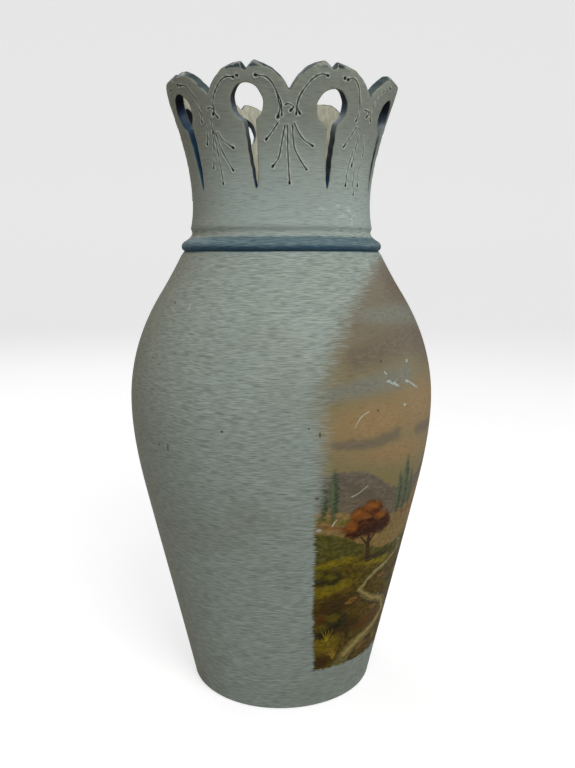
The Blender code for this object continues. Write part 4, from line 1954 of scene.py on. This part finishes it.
    def clay_marks(self, fields: Fields, under: Socket) -> Socket:
        """Darken the incised strokes with dirt and painted shade, and rub the burrs and the cut edges pale.

        Args:
            fields: the paint's fields.
            under: the colour below them.

        Returns:
            The marked colour.
        """
        tree = fields.tree
        edge = tree.math("MULTIPLY", tree.attribute("edge"), tree.step(fields.mottle, 0.0, 1.0, 0.7))
        colour = tree.mix(edge, under, linear(self.rubbed_edge))
        colour = tree.wash(colour, self.pale_burr, tree.attribute("burr"), 0.12, 0.7, 0.85)
        # Dirt and painted shade darken the incised grooves
        return tree.wash(colour, self.groove_dirt_and_shade, tree.attribute("groove"), 0.02, 0.4, 0.95)

    def rim(self) -> bpy.types.Material:
        """Make the dark teal paint of the rim and its cuts, rubbed pale at the edges.

        Returns:
            The material.
        """
        material, tree = self.start("rim_paint")
        raw, height = tree.pot_place()
        blotch = tree.noise(raw, (160.0, 160.0, 220.0), 4.0)
        colour = tree.wash(linear(self.rim_teal), self.rim_grey, blotch, 0.4, 0.62)
        colour = tree.wash(colour, self.rim_foot, height, 300.5, 294.0, 0.7)
        worn = tree.math("MULTIPLY", tree.step(tree.attribute("edge"), 0.2, 0.9),
                         tree.step(blotch, 0.44, 0.6, 0.8))
        colour = tree.mix(worn, colour, linear(self.worn_rim))
        return self.end(material, tree, colour, 0.55, 0.3, blotch, 0.3 * MM)

    def keyhole(self) -> bpy.types.Material:
        """Make the blue paint of the keyholes' walls, with painted shade darkening them towards the top and
        a painted highlight on the lower lip.

        Returns:
            The material.
        """
        material, tree = self.start("keyhole_paint")
        raw, height = tree.pot_place()
        blotch = tree.noise(raw, (200.0, 200.0, 260.0), 4.0)
        level = tree.waver(height, blotch, 9.0)
        # Both ramps paint shade, near black towards each keyhole's top; the grey one also paints a pale
        # highlight on the lower lip at about 279 to 284 mm
        grey = tree.ramp(level, ((250.0, (34, 74, 104)), (262.0, (34, 50, 60)), (272.0, (40, 44, 46)),
                                 (279.0, (84, 92, 94)), (283.0, (108, 118, 120)), (287.0, (48, 62, 76)),
                                 (291.0, (20, 26, 40)), (298.0, (10, 12, 18))))
        blue = tree.ramp(level, ((250.0, (28, 76, 104)), (272.0, (34, 72, 96)), (282.0, (46, 76, 98)),
                                 (288.0, (22, 42, 68)), (292.0, (10, 16, 28))))
        left = tree.step(tree.node("SeparateXYZ", {0: raw}).outputs[0], -0.022, -0.034)
        colour = tree.mix(left, grey, blue)
        worn = tree.math("MULTIPLY", tree.step(tree.attribute("edge"), 0.3, 0.95), 0.5)
        colour = tree.mix(worn, colour, linear(self.worn_keyhole))
        return self.end(material, tree, colour, 0.5, 0.3, blotch, 0.5 * MM)

    def inside(self) -> bpy.types.Material:
        """Make the pale wash of the inside, brushed upwards and stained.

        Returns:
            The material.
        """
        material, tree = self.start("inner_wash")
        raw, height = tree.pot_place()
        brush = tree.noise(raw, (700.0, 700.0, 60.0), 4.0)
        stain = tree.noise(raw, (60.0, 60.0, 60.0), 4.0)
        colour = tree.wash(linear(self.inner_cream), self.inner_pale, brush, 0.35, 0.65)
        colour = tree.wash(colour, self.inner_stain, stain, 0.5, 0.72, 0.5)
        colour = tree.wash(colour, self.inner_shade, height, 230.0, 120.0, 0.6)
        return self.end(material, tree, colour, 0.75, 0.3, brush, 0.1 * MM)

    def bare(self) -> bpy.types.Material:
        """Make the bare fired clay of the underside, darker where it has rubbed.

        Returns:
            The material.
        """
        material, tree = self.start("bare_clay")
        raw = tree.node("TexCoord").outputs["Object"]
        speckle = tree.noise(raw, (420.0, 420.0, 420.0), 4.0)
        colour = tree.wash(linear(self.clay_pink), self.clay_brown, speckle, 0.4, 0.62)
        return self.end(material, tree, colour, 0.88, 0.3, speckle, 0.25 * MM)


# Stage, light and camera


@dataclass(frozen=True)
class CameraPlace:
    """Where the camera stands, from the photograph's perspective."""

    distance: float = 402.9 * MM
    side: float = 3.15 * MM
    height: float = 223.7 * MM
    down_degrees: float = 9.545
    lens: float = 36.56
    sensor: float = 36.0


def add_camera(place: CameraPlace) -> None:
    """Add the camera in front of the vase and look through it.

    Args:
        place: where it stands and what lens it has.
    """
    data = bpy.data.cameras.new("camera")
    data.lens = place.lens
    data.sensor_width = place.sensor
    data.clip_start = 0.01
    camera = bpy.data.objects.new("camera", data)
    camera.location = (place.side, -place.distance, place.height)
    camera.rotation_euler = (math.radians(90.0 - place.down_degrees), 0.0, 0.0)
    bpy.context.scene.collection.objects.link(camera)
    bpy.context.scene.camera = camera


@dataclass(frozen=True)
class Lamp:
    """A soft area light: its place, what it points at, its size and its power."""

    name: str
    place: tuple[float, float, float]
    aim: tuple[float, float, float]
    size: float
    power: float


def add_lamp(lamp: Lamp) -> None:
    """Add one area light.

    Args:
        lamp: its place, aim, size and power.
    """
    data = bpy.data.lights.new(lamp.name, "AREA")
    data.size = lamp.size
    data.energy = lamp.power
    light = bpy.data.objects.new(lamp.name, data)
    light.location = lamp.place
    toward = Vector(lamp.aim) - Vector(lamp.place)
    light.rotation_euler = toward.to_track_quat("-Z", "Y").to_euler()
    bpy.context.scene.collection.objects.link(light)


def add_stage() -> None:
    """Add a plain pale floor that runs up behind the vase, and a soft white world."""
    mesh = bpy.data.meshes.new("floor")
    run = np.array([(-3.0, 0.0), (2.0, 0.0), (2.6, 0.15), (3.0, 0.6), (3.1, 1.2), (3.1, 4.0)])
    points = [(x, y, z) for y, z in run for x in (-4.0, 4.0)]
    faces = [(2 * i, 2 * i + 1, 2 * i + 3, 2 * i + 2) for i in range(len(run) - 1)]
    mesh.from_pydata(points, [], faces)
    mesh.shade_smooth()
    floor = bpy.data.objects.new("floor", mesh)
    bpy.context.scene.collection.objects.link(floor)
    mesh.materials.append(Finishes.floor(0.5, 0.6))
    world = bpy.data.worlds.new("studio")
    world.use_nodes = True
    sky = world.node_tree.nodes["Background"]
    sky.inputs["Color"].default_value = (1.0, 1.0, 1.0, 1.0)
    tree = Tree(world.node_tree)
    seen = tree.node("LightPath").outputs["Is Camera Ray"]
    world.node_tree.links.new(tree.math("MULTIPLY_ADD", seen, 0.4, 0.42), sky.inputs["Strength"])
    bpy.context.scene.world = world


LAMPS = (
    Lamp("key", (0.22, -0.62, 0.80), (0.0, 0.0, 0.17), 0.42, 5.3),
    Lamp("back", (-0.5, 0.9, 1.1), (0.0, 0.0, 0.2), 0.8, 4.4),
    Lamp("left", (-1.0, 0.1, 0.35), (0.0, 0.0, 0.12), 0.7, 1.4),
    Lamp("right", (1.0, 0.3, 0.35), (0.0, 0.0, 0.12), 0.7, 2.0),
)


def main() -> None:
    """Build the stage, the camera and the vase."""
    logging.basicConfig(level=logging.INFO, format="%(name)s: %(message)s")
    bpy.context.scene.view_settings.view_transform = "Standard"
    add_stage()
    add_camera(CameraPlace())
    for lamp in LAMPS:
        add_lamp(lamp)
    piece = Vase(VaseSizes(), CrownSizes()).make()
    LOG.info("built %s, %.1f mm tall", piece.name, piece.dimensions.z / MM)


if __name__ == "__main__":
    main()
